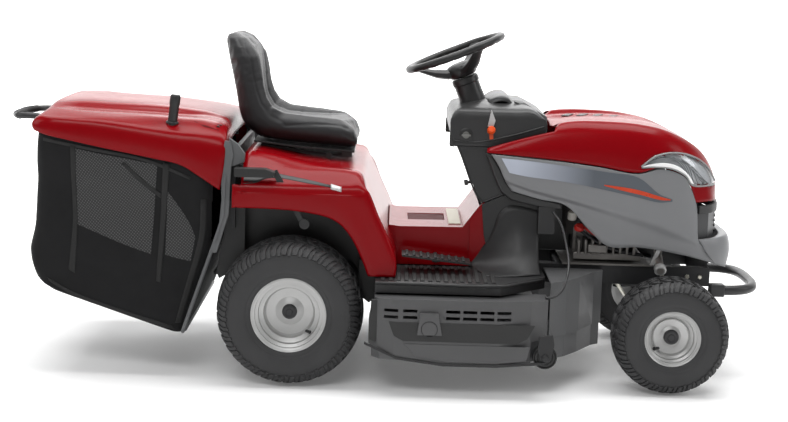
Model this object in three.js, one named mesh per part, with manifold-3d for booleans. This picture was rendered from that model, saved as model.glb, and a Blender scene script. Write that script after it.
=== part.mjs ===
// Riding lawn mower: rear-collecting lawn tractor with a seat, a bonnet, a twin-blade deck and a tipping grass bag.
// Millimetres, +X forward, +Y to the driver's left, +Z up. The origin is on the ground under the middle of the
// machine's bounding box.
import * as THREE from "three";
import { mergeVertices } from "three/addons/utils/BufferGeometryUtils.js";
import Module from "manifold-3d";

const wasm = await Module();
wasm.setup();

// Driving dimensions
const GAP = 0.3; // clearance between pieces that touch
const SKIN = 4; // thickness of the moulded panels
const REAR = { x: -290, z: 226.5, y: 360, width: 216, rim: 112, back: -114, sides: 24 };
const FRONT = { x: 882, z: 180.5, y: 365, width: 156, rim: 83, back: -12, sides: 20 };
const KINGPIN_Y = 258;
const AXLE_Z = 262; // height of the front axle beam's pivot
const RAIL = { y0: 165, y1: 195, z0: 300, z1: 360, rear: -470, front: 1030 };
const WHEEL_HUB = new THREE.Vector3(205, 0, 1008.5); // centre of the steering wheel
const WHEEL_TILT = 21.8; // degrees that the steering wheel's front edge is raised
const WHEEL_RING = 156;
const COLLECTOR_HALF = 376;
const COLLECTOR_PIVOT = { x: -525, z: 775 };
const FENDER_HALF = 420;
const TUNNEL_HALF = 203;
const DASH_HALF = 205;
const HOOD_HALF = 256;
const DECK_HALF = 520;
const BLADE = { x: 240, y: 240, radius: 235, z: 150 };
const ROLLER = { x: 486, y: 500, z: 134, radius: 37, width: 32 };

const group = new THREE.Group();
const COLOURS = {
  red: [0x960014, 0.3, 0.0],
  grey: [0x7f8082, 0.45, 0.1],
  charcoal: [0x3a3a3b, 0.6, 0.0],
  black: [0x151515, 0.6, 0.0],
  steel: [0xb9bbbd, 0.35, 0.9],
  rubber: [0x2a2a2a, 0.9, 0.0],
  rim: [0xc9cacb, 0.4, 0.6],
  fabric: [0x202021, 0.95, 0.0],
  clear: [0xe4e6e8, 0.1, 0.0],
  orange: [0xd04a18, 0.5, 0.0],
  cast: [0x8e8f90, 0.6, 0.7],
};

// Puts a solid into the assembly as one named sub-part.
function piece(name, solid, colour) {
  const [hex, roughness, metalness] = COLOURS[colour];
  const mesh = solid.getMesh();
  const geometry = new THREE.BufferGeometry();
  geometry.setAttribute("position", new THREE.BufferAttribute(mesh.vertProperties, 3));
  geometry.setIndex(new THREE.BufferAttribute(mesh.triVerts, 1));
  const part = new THREE.Mesh(geometry, new THREE.MeshStandardMaterial({ color: hex, roughness, metalness }));
  part.name = name;
  group.add(part);
}

function solidOf(geometry) {
  geometry.deleteAttribute("normal");
  geometry.deleteAttribute("uv");
  const merged = mergeVertices(geometry, 1e-4);
  const mesh = { numProp: 3, vertProperties: merged.attributes.position.array, triVerts: merged.index.array };
  return new wasm.Manifold(new wasm.Mesh(mesh));
}

const vectors = (points) => points.map(([a, b]) => new THREE.Vector2(a, b));
const joined = (solids) => solids.reduce((all, one) => all.add(one));
const cut = (solid, tools) => tools.reduce((left, tool) => left.subtract(tool), solid);
// The other half of a front view outline (y, z), and of a plan outline (x, y).
const mirrored = (points) => [...points, ...points.map(([y, z]) => [-y, z]).reverse()];
const bothSides = (points) => [...points, ...points.map(([x, y]) => [x, -y]).reverse()];

function extruded(points, depth, basis) {
  const geometry = new THREE.ExtrudeGeometry(new THREE.Shape(vectors(points)), { depth, bevelEnabled: false });
  return solidOf(geometry.applyMatrix4(basis));
}

// A side view outline (x, z) given thickness from y0 to y1.
function side(points, y0, y1) {
  const basis = new THREE.Matrix4().makeRotationX(Math.PI / 2).setPosition(0, y1, 0);
  return extruded(points, y1 - y0, basis);
}

// A plan outline (x, y) given height from z0 to z1.
function plan(points, z0, z1) {
  return extruded(points, z1 - z0, new THREE.Matrix4().makeTranslation(0, 0, z0));
}

// A front view outline (y, z) given length from x0 to x1.
function front(points, x0, x1) {
  const axes = [new THREE.Vector3(0, 1, 0), new THREE.Vector3(0, 0, 1), new THREE.Vector3(1, 0, 0)];
  return extruded(points, x1 - x0, new THREE.Matrix4().makeBasis(...axes).setPosition(x0, 0, 0));
}

function box(x0, x1, y0, y1, z0, z1) {
  const geometry = new THREE.BoxGeometry(x1 - x0, y1 - y0, z1 - z0);
  return solidOf(geometry.translate((x0 + x1) / 2, (y0 + y1) / 2, (z0 + z1) / 2));
}

// A round bar between two points, or a cone when its two radii differ.
function bar(from, to, radius, sides = 16, endRadius = radius) {
  const a = new THREE.Vector3(...from);
  const b = new THREE.Vector3(...to);
  const geometry = new THREE.CylinderGeometry(endRadius, radius, a.distanceTo(b), sides);
  const turn = new THREE.Quaternion().setFromUnitVectors(new THREE.Vector3(0, 1, 0), b.clone().sub(a).normalize());
  const middle = a.clone().add(b).multiplyScalar(0.5);
  return solidOf(geometry.applyQuaternion(turn).translate(middle.x, middle.y, middle.z));
}

// A turned shape: the outline (radius, height) is spun round an axis through a point.
function turned(points, sides, axis, at, spin = 0) {
  const outline = THREE.ShapeUtils.area(vectors(points)) > 0 ? points : [...points].reverse();
  const geometry = new THREE.LatheGeometry(vectors(outline), sides).rotateY(spin);
  const turn = new THREE.Quaternion().setFromUnitVectors(new THREE.Vector3(0, 1, 0), axis.clone().normalize());
  return solidOf(geometry.applyQuaternion(turn).translate(at.x, at.y, at.z));
}

// A round tube along a smooth path.
function tube(points, radius, steps, sides = 10) {
  const path = new THREE.CatmullRomCurve3(points.map((p) => new THREE.Vector3(...p)));
  const section = new THREE.Shape();
  section.setFromPoints(ring(radius, sides));
  return solidOf(new THREE.ExtrudeGeometry(section, { steps, bevelEnabled: false, extrudePath: path }));
}

function ring(radius, sides) {
  const angles = Array.from({ length: sides }, (_, k) => (2 * Math.PI * k) / sides);
  return angles.map((a) => new THREE.Vector2(radius * Math.cos(a), radius * Math.sin(a)));
}

// The outline moved inward by a distance, each corner along its mitre.
function inset(points, distance) {
  const turns = Math.sign(THREE.ShapeUtils.area(vectors(points)));
  return points.map((point, k) => {
    const before = points.at(k - 1);
    const after = points[(k + 1) % points.length];
    const into = unit(point[0] - before[0], point[1] - before[1]);
    const out = unit(after[0] - point[0], after[1] - point[1]);
    const normal = unit(-(into[1] + out[1]), into[0] + out[0]);
    const mitre = Math.max(0.35, -normal[0] * into[1] + normal[1] * into[0]);
    return point.map((value, axis) => value + (turns * distance * normal[axis]) / mitre);
  });
}

function unit(a, b) {
  const length = Math.hypot(a, b);
  return [a / length, b / length];
}

// Rear and front wheels: tyre, rim and hub cap.
function wheel(name, w, sign) {
  const axis = new THREE.Vector3(0, sign, 0);
  const at = new THREE.Vector3(w.x, sign * w.y, w.z);
  const half = w.width / 2;
  const facet = Math.PI / w.sides;
  const radius = w.z / Math.cos(facet); // so that the lowest facet lies flat on the ground
  const tyre = [[w.rim + 6, half - 14], [w.rim + 24, half], [radius * 0.86, half], [radius * 0.975, half * 0.74],
    [radius, half * 0.36]];
  const outline = [...tyre, ...tyre.map(([r, h]) => [r, -h]).reverse()];
  outline.push(outline[0]);
  piece(`${name}_tyre`, turned(outline, w.sides, axis, at, facet), "rubber");
  const dish = half * 0.24;
  const lip = half - 15;
  const rim = [
    [0, w.back], [14, w.back], [20, dish - 6], [w.rim - 26, dish - 6], [w.rim - 14, -lip], [w.rim + 4, -lip],
    [w.rim - 3, -lip + 9], [w.rim - 3, lip - 9], [w.rim + 4, lip], [w.rim - 10, lip], [w.rim - 30, dish + 2],
    [0, dish],
  ];
  piece(`${name}_rim`, turned(rim, w.sides, axis, at, facet), "rim");
  const cap = [[0, dish + GAP + 4], [24, dish + GAP + 4], [24, dish + 16], [18, dish + 22], [0, dish + 22]];
  piece(`${name}_hub_cap`, turned(cap, 16, axis, at), "black");
}

for (const [tag, sign] of [["right", -1], ["left", 1]]) {
  wheel(`rear_${tag}`, REAR, sign);
  wheel(`front_${tag}`, FRONT, sign);
}

// Chassis: two rails, cross plates, the tall rear plate and the bonnet's hinge lugs.
function chassisFrame() {
  const rails = [-1, 1].map((s) => {
    const [y0, y1] = s < 0 ? [-RAIL.y1, -RAIL.y0] : [RAIL.y0, RAIL.y1];
    return box(RAIL.rear, RAIL.front, y0, y1, RAIL.z0, RAIL.z1);
  });
  const plate = [[230, 264], [230, 465], [310, 465], [310, 706]];
  const chute = [[140, 330], [140, 560]];
  const rear = cut(front(mirrored(plate), -484, -476 + 6), [front(mirrored(chute), -490, -460)]);
  const arms = [-304, 298].map((y) => side([[-484, 640], [-470, 640], [-470, 700], [-516, 784], [-534, 784],
    [-536, 764], [-484, 690]], y, y + 6));
  const pins = [-1, 1].map((s) => bar([COLLECTOR_PIVOT.x, s * 296, COLLECTOR_PIVOT.z],
    [COLLECTOR_PIVOT.x, s * 322, COLLECTOR_PIVOT.z], 7, 12));
  const nose = box(1024, 1032, -150, 150, 300, 384).add(box(1024, 1032, -RAIL.y1, RAIL.y1, 300, 352));
  const cross = [box(-20, 10, -172, 172, 300, 330), box(560, 590, -172, 172, 300, 330)];
  const lugs = [-1, 1].map((s) => side([[1030, 348], [1038, 352], [1062, 368], [1070, 376], [1064, 384],
    [1030, 376]], s * 90 - 4, s * 90 + 4));
  const tower = [box(860, 904, -36, 36, 297, 320), box(860, 904, -172, 172, 312, 330)];
  const hitch = side([[-480, 262], [-480, 322], [-490, 322], [-492, 272], [-566, 272], [-566, 262]], -45, 45)
    .subtract(bar([-545, 0, 250], [-545, 0, 290], 10, 16));
  return joined([...rails, rear, ...arms, ...pins, nose, ...cross, ...lugs, ...tower, hitch]);
}
piece("chassis_frame", chassisFrame(), "black");

// Front bumper: one bent tube with a flat sleeve on each arm.
function frontBumper() {
  const half = [[1034, 188, 288], [1090, 188, 288], [1140, 182, 288], [1176, 150, 290], [1194, 90, 291]];
  const path = [...half.map(([x, y, z]) => [x, -y, z]), [1199, 0, 291], ...half.reverse()];
  const sleeves = [-1, 1].map((s) => box(1034, 1082, s * 188 - 10, s * 188 + 10, 262, 312));
  return joined([tube(path, 16, 30, 8), ...sleeves]);
}
piece("front_bumper", frontBumper(), "charcoal");

// Driveline between the rear wheels.
function transaxle() {
  const z = REAR.z;
  const housing = side([[-372, 170], [-372, 268], [-340, 292], [-236, 292], [-206, 262], [-206, 176],
    [-240, 150], [-340, 150]], -74, 74);
  const tubes = bar([REAR.x, -236, z], [REAR.x, 236, z], 29, 16);
  const flanges = [-1, 1].map((s) => bar([REAR.x, s * 96, z], [REAR.x, s * 110, z], 52, 16));
  const seats = [-1, 1].map((s) => box(REAR.x - 34, REAR.x + 34, s * 180 - 12, s * 180 + 12, z, RAIL.z0 - GAP));
  return joined([housing, tubes, ...flanges, ...seats]);
}
piece("transaxle", transaxle(), "cast");
const UP = new THREE.Vector3(0, 0, 1);

// Front axle: a cast beam rocking on a centre pin, a kingpin at each end, and a tie rod.
function frontAxleBeam() {
  const beam = front(mirrored([[46, AXLE_Z - 26], [218, 232], [240, 226], [276, 226], [276, 276], [240, 276],
    [60, AXLE_Z + 28]]).reverse(), FRONT.x - 18, FRONT.x + 18);
  const holes = [-1, 1].map((s) => bar([FRONT.x, s * KINGPIN_Y, 200], [FRONT.x, s * KINGPIN_Y, 300], 11.5, 16));
  const pin = bar([FRONT.x - 34, 0, AXLE_Z], [FRONT.x + 34, 0, AXLE_Z], 14, 16);
  return cut(beam.add(pin), holes);
}
piece("front_axle_beam", frontAxleBeam(), "black");
function steeringKnuckle(sign) {
  const y = sign * KINGPIN_Y;
  const pin = bar([FRONT.x, y, 168], [FRONT.x, y, 292], 11, 16);
  const collar = bar([FRONT.x, y, 160], [FRONT.x, y, 225], 19, 16);
  const cap = bar([FRONT.x, y, 277], [FRONT.x, y, 288], 17, 16);
  const stub = bar([FRONT.x, y, FRONT.z], [FRONT.x, sign * 350, FRONT.z], 10, 16);
  const arm = plan([[FRONT.x + 12, y - 14], [FRONT.x + 12, y + 14], [FRONT.x - 80, sign * 226 + 11],
    [FRONT.x - 94, sign * 226], [FRONT.x - 80, sign * 226 - 11]], 203, 211);
  return joined([pin, collar, cap, stub, arm]);
}
piece("steering_knuckle_right", steeringKnuckle(-1), "black");
piece("steering_knuckle_left", steeringKnuckle(1), "black");
function tieRod() {
  const x = FRONT.x - 86;
  const eyes = [-1, 1].map((s) => bar([x, s * 226, 214], [x, s * 226, 232], 12, 12));
  return joined([bar([x, -226, 223], [x, 226, 223], 7, 10), ...eyes]);
}
piece("tie_rod", tieRod(), "steel");

// Steering column: points along the shaft are measured down from the wheel's centre.
const SHAFT = new THREE.Vector3(0, 0, -1).applyAxisAngle(new THREE.Vector3(0, 1, 0),
  -THREE.MathUtils.degToRad(WHEEL_TILT));
const along = (distance) => WHEEL_HUB.clone().addScaledVector(SHAFT, distance);
const onShaft = (points, sides) => turned(points, sides, SHAFT, WHEEL_HUB);
function steeringWheel() {
  const grip = ring(13.5, 8).map((p) => [WHEEL_RING + p.x, p.y]);
  const rim = onShaft([...grip, grip[0]], 32);
  const hub = onShaft([[0, -4], [36, -4], [44, 8], [34, 40], [24, 56], [0, 56]], 20);
  const across = new THREE.Vector3(0, 1, 0);
  const ahead = new THREE.Vector3().crossVectors(SHAFT, across);
  const spokes = [0, 120, 240].map((degrees) => {
    const a = THREE.MathUtils.degToRad(degrees);
    const out = ahead.clone().multiplyScalar(-Math.cos(a)).addScaledVector(across, Math.sin(a));
    const inner = along(20).addScaledVector(out, 24);
    const outer = along(2).addScaledVector(out, WHEEL_RING - 3);
    return bar(inner.toArray(), outer.toArray(), 14, 8, 9);
  });
  const shaft = bar(along(50).toArray(), along(640).toArray(), 9, 12);
  return joined([rim, hub, shaft, ...spokes]);
}
piece("steering_wheel", steeringWheel(), "black");
const BOOT = [[11, 70], [27, 70], [33, 96], [48, 150], [62, 178], [11, 178], [11, 70]];
piece("steering_column_cover", onShaft(BOOT, 24), "charcoal");

const RAIL_SPACE = box(-100, 600, -198, 198, 290, RAIL.z1 + GAP);

// Dash: the console that carries the controls, and the leg shield under it.
function dashConsole() {
  const outline = [[193, 824], [240, 846], [345, 872], [420, 866], [492, 826], [492, 800], [470, 742],
    [330, 722], [400, 640], [367, 582], [292, 552], [213, 724]];
  const section = mirrored([[DASH_HALF, 540], [DASH_HALF, 778], [DASH_HALF - 9, 812], [178, 838], [118, 862],
    [40, 880]]);
  const outer = side(outline, -DASH_HALF, DASH_HALF).intersect(front(section, 150, 520));
  const hollow = side(inset(outline, SKIN), -DASH_HALF + SKIN, DASH_HALF - SKIN)
    .intersect(front(inset(section, SKIN), 150, 520));
  const open = box(300, 480, -200, 200, 560, 716);
  const column = bar(along(170).toArray(), along(480).toArray(), 16, 16);
  const boot = bar(along(60).toArray(), along(182).toArray(), 63.5, 24);
  return cut(outer, [hollow, open, column, boot]);
}
piece("dash_console", dashConsole(), "charcoal");
function legShield() {
  const outline = [[297, 546], [361, 575], [380, 581], [455, 563], [478, 540], [478, 346], [332, 346], [306, 450]];
  const outer = side(outline, -214, 214);
  const hollow = side(inset(outline, SKIN), -214 + SKIN, 214 - SKIN);
  const open = [box(420, 500, -190, 190, 340, 556), box(345, 470, -205, 205, 340, 360), RAIL_SPACE];
  const column = bar(along(380).toArray(), along(640).toArray(), 16, 16);
  const linkageBox = box(474, 526, -240, -213, 462, 548);
  return cut(outer, [hollow, ...open, column]).add(linkageBox);
}
piece("leg_shield", legShield(), "charcoal");

// Body: the rear fender over the wheels, the floor tunnel and the two footboards.
const FENDER_SIDE = [[-469, 548], [-469, 640], [-455, 680], [-443, 698], [-82, 653], [-60, 607], [5, 467],
  [31, 394], [31, 347], [-53, 347], [-94, 443], [-141, 506], [-202, 532], [-323, 546]];
const FENDER_SECTION = mirrored([[FENDER_HALF, 330], [FENDER_HALF, 600], [FENDER_HALF - 14, 626],
  [FENDER_HALF - 60, 660], [300, 700]]);
function rearFender() {
  const outer = side(FENDER_SIDE, -FENDER_HALF, FENDER_HALF).intersect(front(FENDER_SECTION, -500, 60));
  const hollow = side(inset(FENDER_SIDE, SKIN), -FENDER_HALF + SKIN, FENDER_HALF - SKIN)
    .intersect(front(inset(FENDER_SECTION, SKIN), -500, 60));
  const below = hollow.translate([0, 0, -10]);
  const behind = hollow.translate([-10, 0, 0]);
  const middle = box(-480, 40, -206, 206, 340, 480);
  const leverSlot = box(-360, -205, -409, -395, 560, 700);
  return cut(outer, [hollow, below, behind, middle, leverSlot]);
}
piece("rear_fender", rearFender(), "red");
function floorTunnel() {
  const outline = [[6, 346], [6, 472], [41, 468], [239, 470], [290, 540], [300, 450], [326, 346]];
  const outer = side(outline, -TUNNEL_HALF, TUNNEL_HALF);
  const hollow = side(inset(outline, SKIN), -TUNNEL_HALF + SKIN, TUNNEL_HALF - SKIN);
  const below = hollow.translate([0, 0, -10]);
  const tray = box(66, 186, -70, 60, 462, 480);
  const floor = box(60, 192, -76, 66, 450, 466);
  return cut(outer, [hollow, below, RAIL_SPACE]).add(floor).subtract(tray);
}
piece("floor_tunnel", floorTunnel(), "red");
function footboard(sign) {
  const flip = (points) => points.map(([x, y]) => [x, sign * y]);
  const outer = [[-30, 204], [-30, 468], [347, 468], [494, 335], [494, 204]];
  const slab = plan(flip(outer), 308, 343);
  const hollow = plan(flip(inset(outer, SKIN)), 300, 339);
  const ribs = [60, 130, 200, 270].map((x) => box(x, x + 12, sign * 330 - 90, sign * 330 + 90, 342.5, 345));
  return joined([slab.subtract(hollow), ...ribs]);
}
piece("footboard_right", footboard(-1), "charcoal");
piece("footboard_left", footboard(1), "charcoal");

// Seat: a moulded cushion on a pan that tips forward, on a slider that adjusts fore and aft.
function seatCushion() {
  const bolster = [[-511, 1073], [-530, 1062], [-516, 1010], [-475, 774], [-440, 730], [-281, 714], [-100, 704],
    [-92, 720], [-94, 767], [-127, 800], [-321, 818], [-376, 850], [-388, 893], [-403, 988], [-440, 1056]];
  const middle = [[-520, 1040], [-475, 774], [-440, 730], [-281, 714], [-110, 704], [-104, 766], [-140, 784],
    [-330, 778], [-416, 830], [-432, 900], [-450, 1030], [-490, 1050]];
  const sides = [-1, 1].map((s) => side(bolster, s * 160 - 38, s * 160 + 38));
  return joined([side(middle, -124, 124), ...sides]);
}
piece("seat_cushion", seatCushion(), "black");
function seatPan() {
  const base = side([[-430, 716], [-430, 722], [-281, 707], [-110, 697], [-110, 690], [-281, 700]], -150, 150);
  const ears = [-1, 1].map((s) => side([[-150, 694], [-118, 692], [-118, 676], [-150, 676]], s * 146 - 3,
    s * 146 + 3));
  return joined([base, ...ears]);
}
piece("seat_pan", seatPan(), "black");
function seatSlider() {
  const plate = side([[-410, 703], [-410, 709], [-281, 691.5], [-152, 680], [-152, 674], [-281, 683]], -128, 128);
  const arms = [-1, 1].map((s) => side([[-170, 675], [-170, 683], [-150, 686], [-130, 686], [-126, 682],
    [-126, 676], [-130, 672], [-150, 672]], s * 124 - 4, s * 124 + 4));
  const pins = [-1, 1].map((s) => bar([-134, s * 127, 679], [-134, s * 142, 679], 3, 8));
  const knob = [bar([-190, -126, 681], [-190, -160, 681], 4, 8), bar([-190, -158, 681], [-190, -172, 681], 10, 12)];
  return joined([plate, ...arms, ...pins, ...knob]);
}
piece("seat_slider", seatSlider(), "black");

// Bonnet: the painted top, the moulded lower sides and chin, the lamps and the grille.
const HOOD_PLAN = bothSides([[300, HOOD_HALF], [800, HOOD_HALF], [900, 246], [980, 218], [1030, 176], [1058, 112],
  [1062, 40]]);
const HOOD_SECTION = mirrored([[HOOD_HALF, 540], [HOOD_HALF, 690], [242, 748], [222, 790], [197, 822], [172, 812],
  [150, 806]]);
const LAMP_SIDE = [[786, 684], [829, 717], [885, 728], [945, 718], [1000, 688], [1036, 636], [1040, 622],
  [952, 622], [928, 660], [884, 682], [830, 686]];
function hoodShell(outline, thickness, x1 = 1200) {
  const outer = side(outline, -400, 400).intersect(plan(HOOD_PLAN, 300, 900)).intersect(
    front(HOOD_SECTION, 200, x1));
  const hollow = side(inset(outline, thickness), -400, 400).intersect(plan(inset(HOOD_PLAN, thickness), 300, 900))
    .intersect(front(inset(HOOD_SECTION, thickness), 200, x1));
  return [outer, hollow];
}
function hoodTop() {
  const outline = [[305, 728], [344, 751], [410, 770], [469, 784], [510, 800], [542, 815], [658, 820], [784, 814],
    [864, 794], [947, 763], [1000, 724], [1034, 680], [1056, 614], [1051, 570], [976, 570], [952, 622],
    [928, 660], [884, 678], [830, 680], [786, 680], [777, 668], [658, 683], [533, 698], [314, 716]];
  const [outer, hollow] = hoodShell(outline, SKIN);
  const open = [box(548, 760, -160, 160, 660, 790), box(290, 508, -231, 231, 600, 900)];
  const lamps = side(inset(LAMP_SIDE, -2), -300, 300).intersect(box(780, 1100, -300, 300, 600, 760))
    .subtract(box(780, 1100, -96, 96, 600, 760));
  const slots = [580, 620, 660, 700].map((x) => box(x, x + 16, -90, 90, 780, 830));
  return cut(outer, [hollow, hollow.translate([0, 0, -12]), ...open, lamps, ...slots]);
}
piece("hood_top", hoodTop(), "red");
function hoodSides() {
  const outline = [[316, 712], [533, 694], [658, 679], [777, 664], [786, 668], [884, 666], [922, 650], [944, 618],
    [972, 566], [1050, 566], [1050, 552], [974, 538], [979, 452], [1062, 452], [1074, 462], [1101, 442],
    [1113, 403], [1093, 353], [1046, 374], [957, 405], [796, 428], [696, 430], [636, 477], [557, 556], [475, 572],
    [387, 595], [364, 626], [346, 669]];
  const wide = bothSides([[300, HOOD_HALF + 1], [800, HOOD_HALF + 1], [900, 250], [980, 226], [1040, 190],
    [1090, 130], [1113, 60]]);
  const outer = side(outline, -400, 400).intersect(plan(wide, 300, 900));
  const hollow = side(inset(outline, SKIN), -400, 400).intersect(plan(inset(wide, SKIN), 300, 900));
  const core = plan(inset(wide, 26), 340, 740).intersect(box(200, 1054, -400, 400, 340, 740));
  const lower = plan(inset(wide, 26), 340, 446).intersect(box(200, 1088, -400, 400, 340, 446));
  const console = box(290, 800, -231, 231, 340, 740);
  return cut(outer, [hollow, core, lower, console]);
}
piece("hood_sides", hoodSides(), "grey");
for (const [tag, sign] of [["right", -1], ["left", 1]]) {
  const outer = side(inset(LAMP_SIDE, 1), -300, 300).intersect(plan(inset(HOOD_PLAN, 1), 300, 900))
    .intersect(front(inset(HOOD_SECTION, 1), 200, 1200));
  const hollow = plan(inset(HOOD_PLAN, 4), 600, 760).intersect(front(inset(HOOD_SECTION, 4), 200, 1200));
  const half = sign < 0 ? box(780, 1100, -300, -98, 600, 760) : box(780, 1100, 98, 300, 600, 760);
  piece(`headlamp_${tag}`, outer.subtract(hollow).intersect(half), "clear");
}
function grille() {
  const outline = [[976, 535], [1060, 549], [1066, 470], [1058, 455.5], [981, 455.5]];
  const shape = bothSides([[960, 216], [1020, 178], [1050, 120], [1062, 50]]);
  const panel = side(outline, -300, 300).intersect(plan(shape, 400, 600));
  const slots = [470, 486, 502, 518].map((z) => box(1030, 1100, -96, 96, z, z + 7));
  return cut(panel, [plan(inset(shape, 6), 300, 700), ...slots]);
}
piece("grille", grille(), "charcoal");

// Engine bay
function engineBlock() {
  const base = plan([[600, -120], [600, 120], [800, 120], [800, -120]], 364, 470);
  const deck = plan(ring(150, 20).map((p) => [700 + p.x, p.y]), 440, 540);
  const head = box(790, 868, -70, 70, 430, 530);
  const fins = [440, 462, 484, 506].map((z) => box(866, 880, -78, 78, z, z + 10));
  const plate = box(560, 840, -204, 204, 360 + GAP, 366);
  return joined([base, deck, head, ...fins, plate]);
}
piece("engine_block", engineBlock(), "cast");
const BLOWER = [[0, 541], [172, 541], [178, 556], [178, 610], [150, 640], [96, 646], [90, 662], [0, 666]];
piece("blower_housing", turned(BLOWER, 28, UP, new THREE.Vector3(700, 0, 0)), "black");
function muffler() {
  const can = bar([930, -120, 474], [930, 120, 474], 40, 20);
  const route = [[905, -90, 450], [880, -120, 420], [868, -170, 392], [866, -205, 378], [866, -240, 356]];
  const pipe = tube(route, 13, 14, 10);
  return can.add(pipe);
}
piece("muffler", muffler(), "steel");
piece("fuel_tank", box(-420, -200, -160, 160, 575, 640).add(bar([-240, 120, 636], [-240, 120, 652], 26, 16)),
  "black");
piece("battery", joined([box(-190, -75, -90, 90, 470, 590), bar([-105, -50, 588], [-105, -50, 598], 7, 8),
  bar([-105, 50, 588], [-105, 50, 598], 7, 8)]), "black");

// Cutting deck: the shell with its side covers, two timed blades and the two ground rollers.
const DECK_PLAN = bothSides([[-46, 470], [-14, 508], [30, 516], [347, 516], [440, 496], [500, 462], [560, 412],
  [606, 350], [660, 262], [690, 236]]);
function deckShell() {
  const body = plan(inset(DECK_PLAN, 9), 112, 236);
  const hollow = plan(inset(DECK_PLAN, 13), 100, 232);
  const nose = plan(inset(DECK_PLAN, 5), 181, 350).intersect(box(500, 700, -600, 600, 181, 350));
  const noseHollow = plan(inset(DECK_PLAN, 11), 170, 346).intersect(box(480, 800, -600, 600, 170, 346));
  const middle = box(480, 720, -214, 214, 240, 360);
  const outlet = box(-60, 20, -120, 120, 140, 226);
  const housings = [-1, 1].map((s) => bar([BLADE.x, s * BLADE.y, 200], [BLADE.x, s * BLADE.y, 262], 46, 20));
  const bores = [-1, 1].map((s) => bar([BLADE.x, s * BLADE.y, 100], [BLADE.x, s * BLADE.y, 290], 14.5, 16));
  const hangers = [-1, 1].map((s) => box(300, 330, s * 150 - 4, s * 150 + 4, 234, 292));
  const axles = [-1, 1].map((s) => bar([ROLLER.x, s * 452, ROLLER.z], [ROLLER.x, s * 519, ROLLER.z], 6, 12));
  const shell = body.add(nose);
  return cut(joined([cut(shell, [hollow, noseHollow, middle, outlet]), ...housings, ...hangers, ...axles]), bores);
}
piece("deck_shell", deckShell(), "charcoal");
function deckSideCover(sign) {
  const outline = bothSides([[-46, 474], [-18, 512], [30, DECK_HALF], [347, DECK_HALF], [440, 502], [497, 474]]);
  const drop = [[-30, 302], [497, 302], [497, 178], [486, 112], [340, 99], [180, 99], [40, 116], [-60, 160]];
  const outer = plan(outline, 90, 302).intersect(side(drop, -600, 600));
  const hollow = plan(inset(outline, SKIN), 80, 298).intersect(box(-80, 600, -600, 600, 80, 298));
  const half = sign < 0 ? box(-100, 492.5, -600, -395, 80, 310) : box(-100, 492.5, 395, 600, 80, 310);
  const pocket = box(444, 500, sign * 535 - 65, sign * 535 + 65, 80, 178);
  const wall = outer.subtract(hollow).intersect(half).subtract(pocket);
  const y = sign * DECK_HALF;
  const slot = (x, z) => box(x, x + 42, y - 12, y + 12, z, z + 9);
  const columns = [0, 57, 185, 236, 287, 338];
  const slots = columns.flatMap((x) => [slot(x, 262), slot(x, 242)]);
  const [near, far] = sign < 0 ? [y - 12, y + 3] : [y - 3, y + 12];
  const port = side([[108, 262], [162, 262], [174, 196], [100, 196]], near, far);
  return cut(wall, slots).add(port);
}
piece("deck_side_cover_right", deckSideCover(-1), "charcoal");
piece("deck_side_cover_left", deckSideCover(1), "charcoal");
function blade(sign) {
  const at = new THREE.Vector3(BLADE.x, sign * BLADE.y, 0);
  const spindle = turned([[0, 146], [26, 146], [26, 160], [13, 160], [13, 264], [0, 264]], 16, UP, at);
  const pulley = turned([[0, 263], [46, 263], [46, 267], [36, 272], [46, 277], [46, 281], [0, 281]], 24, UP, at);
  const r = BLADE.radius;
  const turn = sign < 0 ? 0 : 90;
  const blank = plan([[-r, -28], [r, -28], [r, 28], [-r, 28]], 144, 150).rotate([0, 0, turn])
    .translate([at.x, at.y, 0]);
  const sails = [-1, 1].map((s) => front([[s * 12, 149], [s * 28, 149], [s * 28, 172], [s * 24, 172]],
    s > 0 ? r - 60 : -r, s > 0 ? r : -r + 60).rotate([0, 0, turn]).translate([at.x, at.y, 0]));
  return joined([spindle, pulley, blank, ...sails]);
}
piece("blade_right", blade(-1), "steel");
piece("blade_left", blade(1), "steel");
for (const [tag, sign] of [["right", -1], ["left", 1]]) {
  const lo = sign * ROLLER.y - ROLLER.width / 2;
  const hi = lo + ROLLER.width;
  const outline = [[7, lo], [33, lo], [ROLLER.radius, lo + 5], [ROLLER.radius, hi - 5], [33, hi], [7, hi], [7, lo]];
  const at = new THREE.Vector3(ROLLER.x, 0, ROLLER.z);
  piece(`deck_roller_${tag}`, turned(outline, 24, new THREE.Vector3(0, 1, 0), at), "black");
}
function dischargeChute() {
  const outline = [[-50, 240], [-120, 262], [-230, 304], [-464, 334], [-464, 556], [-330, 470], [-160, 340],
    [-50, 296]];
  const hollow = side(inset(outline, SKIN), -132, 132);
  const ends = [box(-70, 0, -132, 132, 248, 290), box(-480, -440, -132, 132, 340, 548)];
  return cut(side(outline, -136, 136), [hollow, ...ends]);
}
piece("discharge_chute", dischargeChute(), "black");

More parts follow.
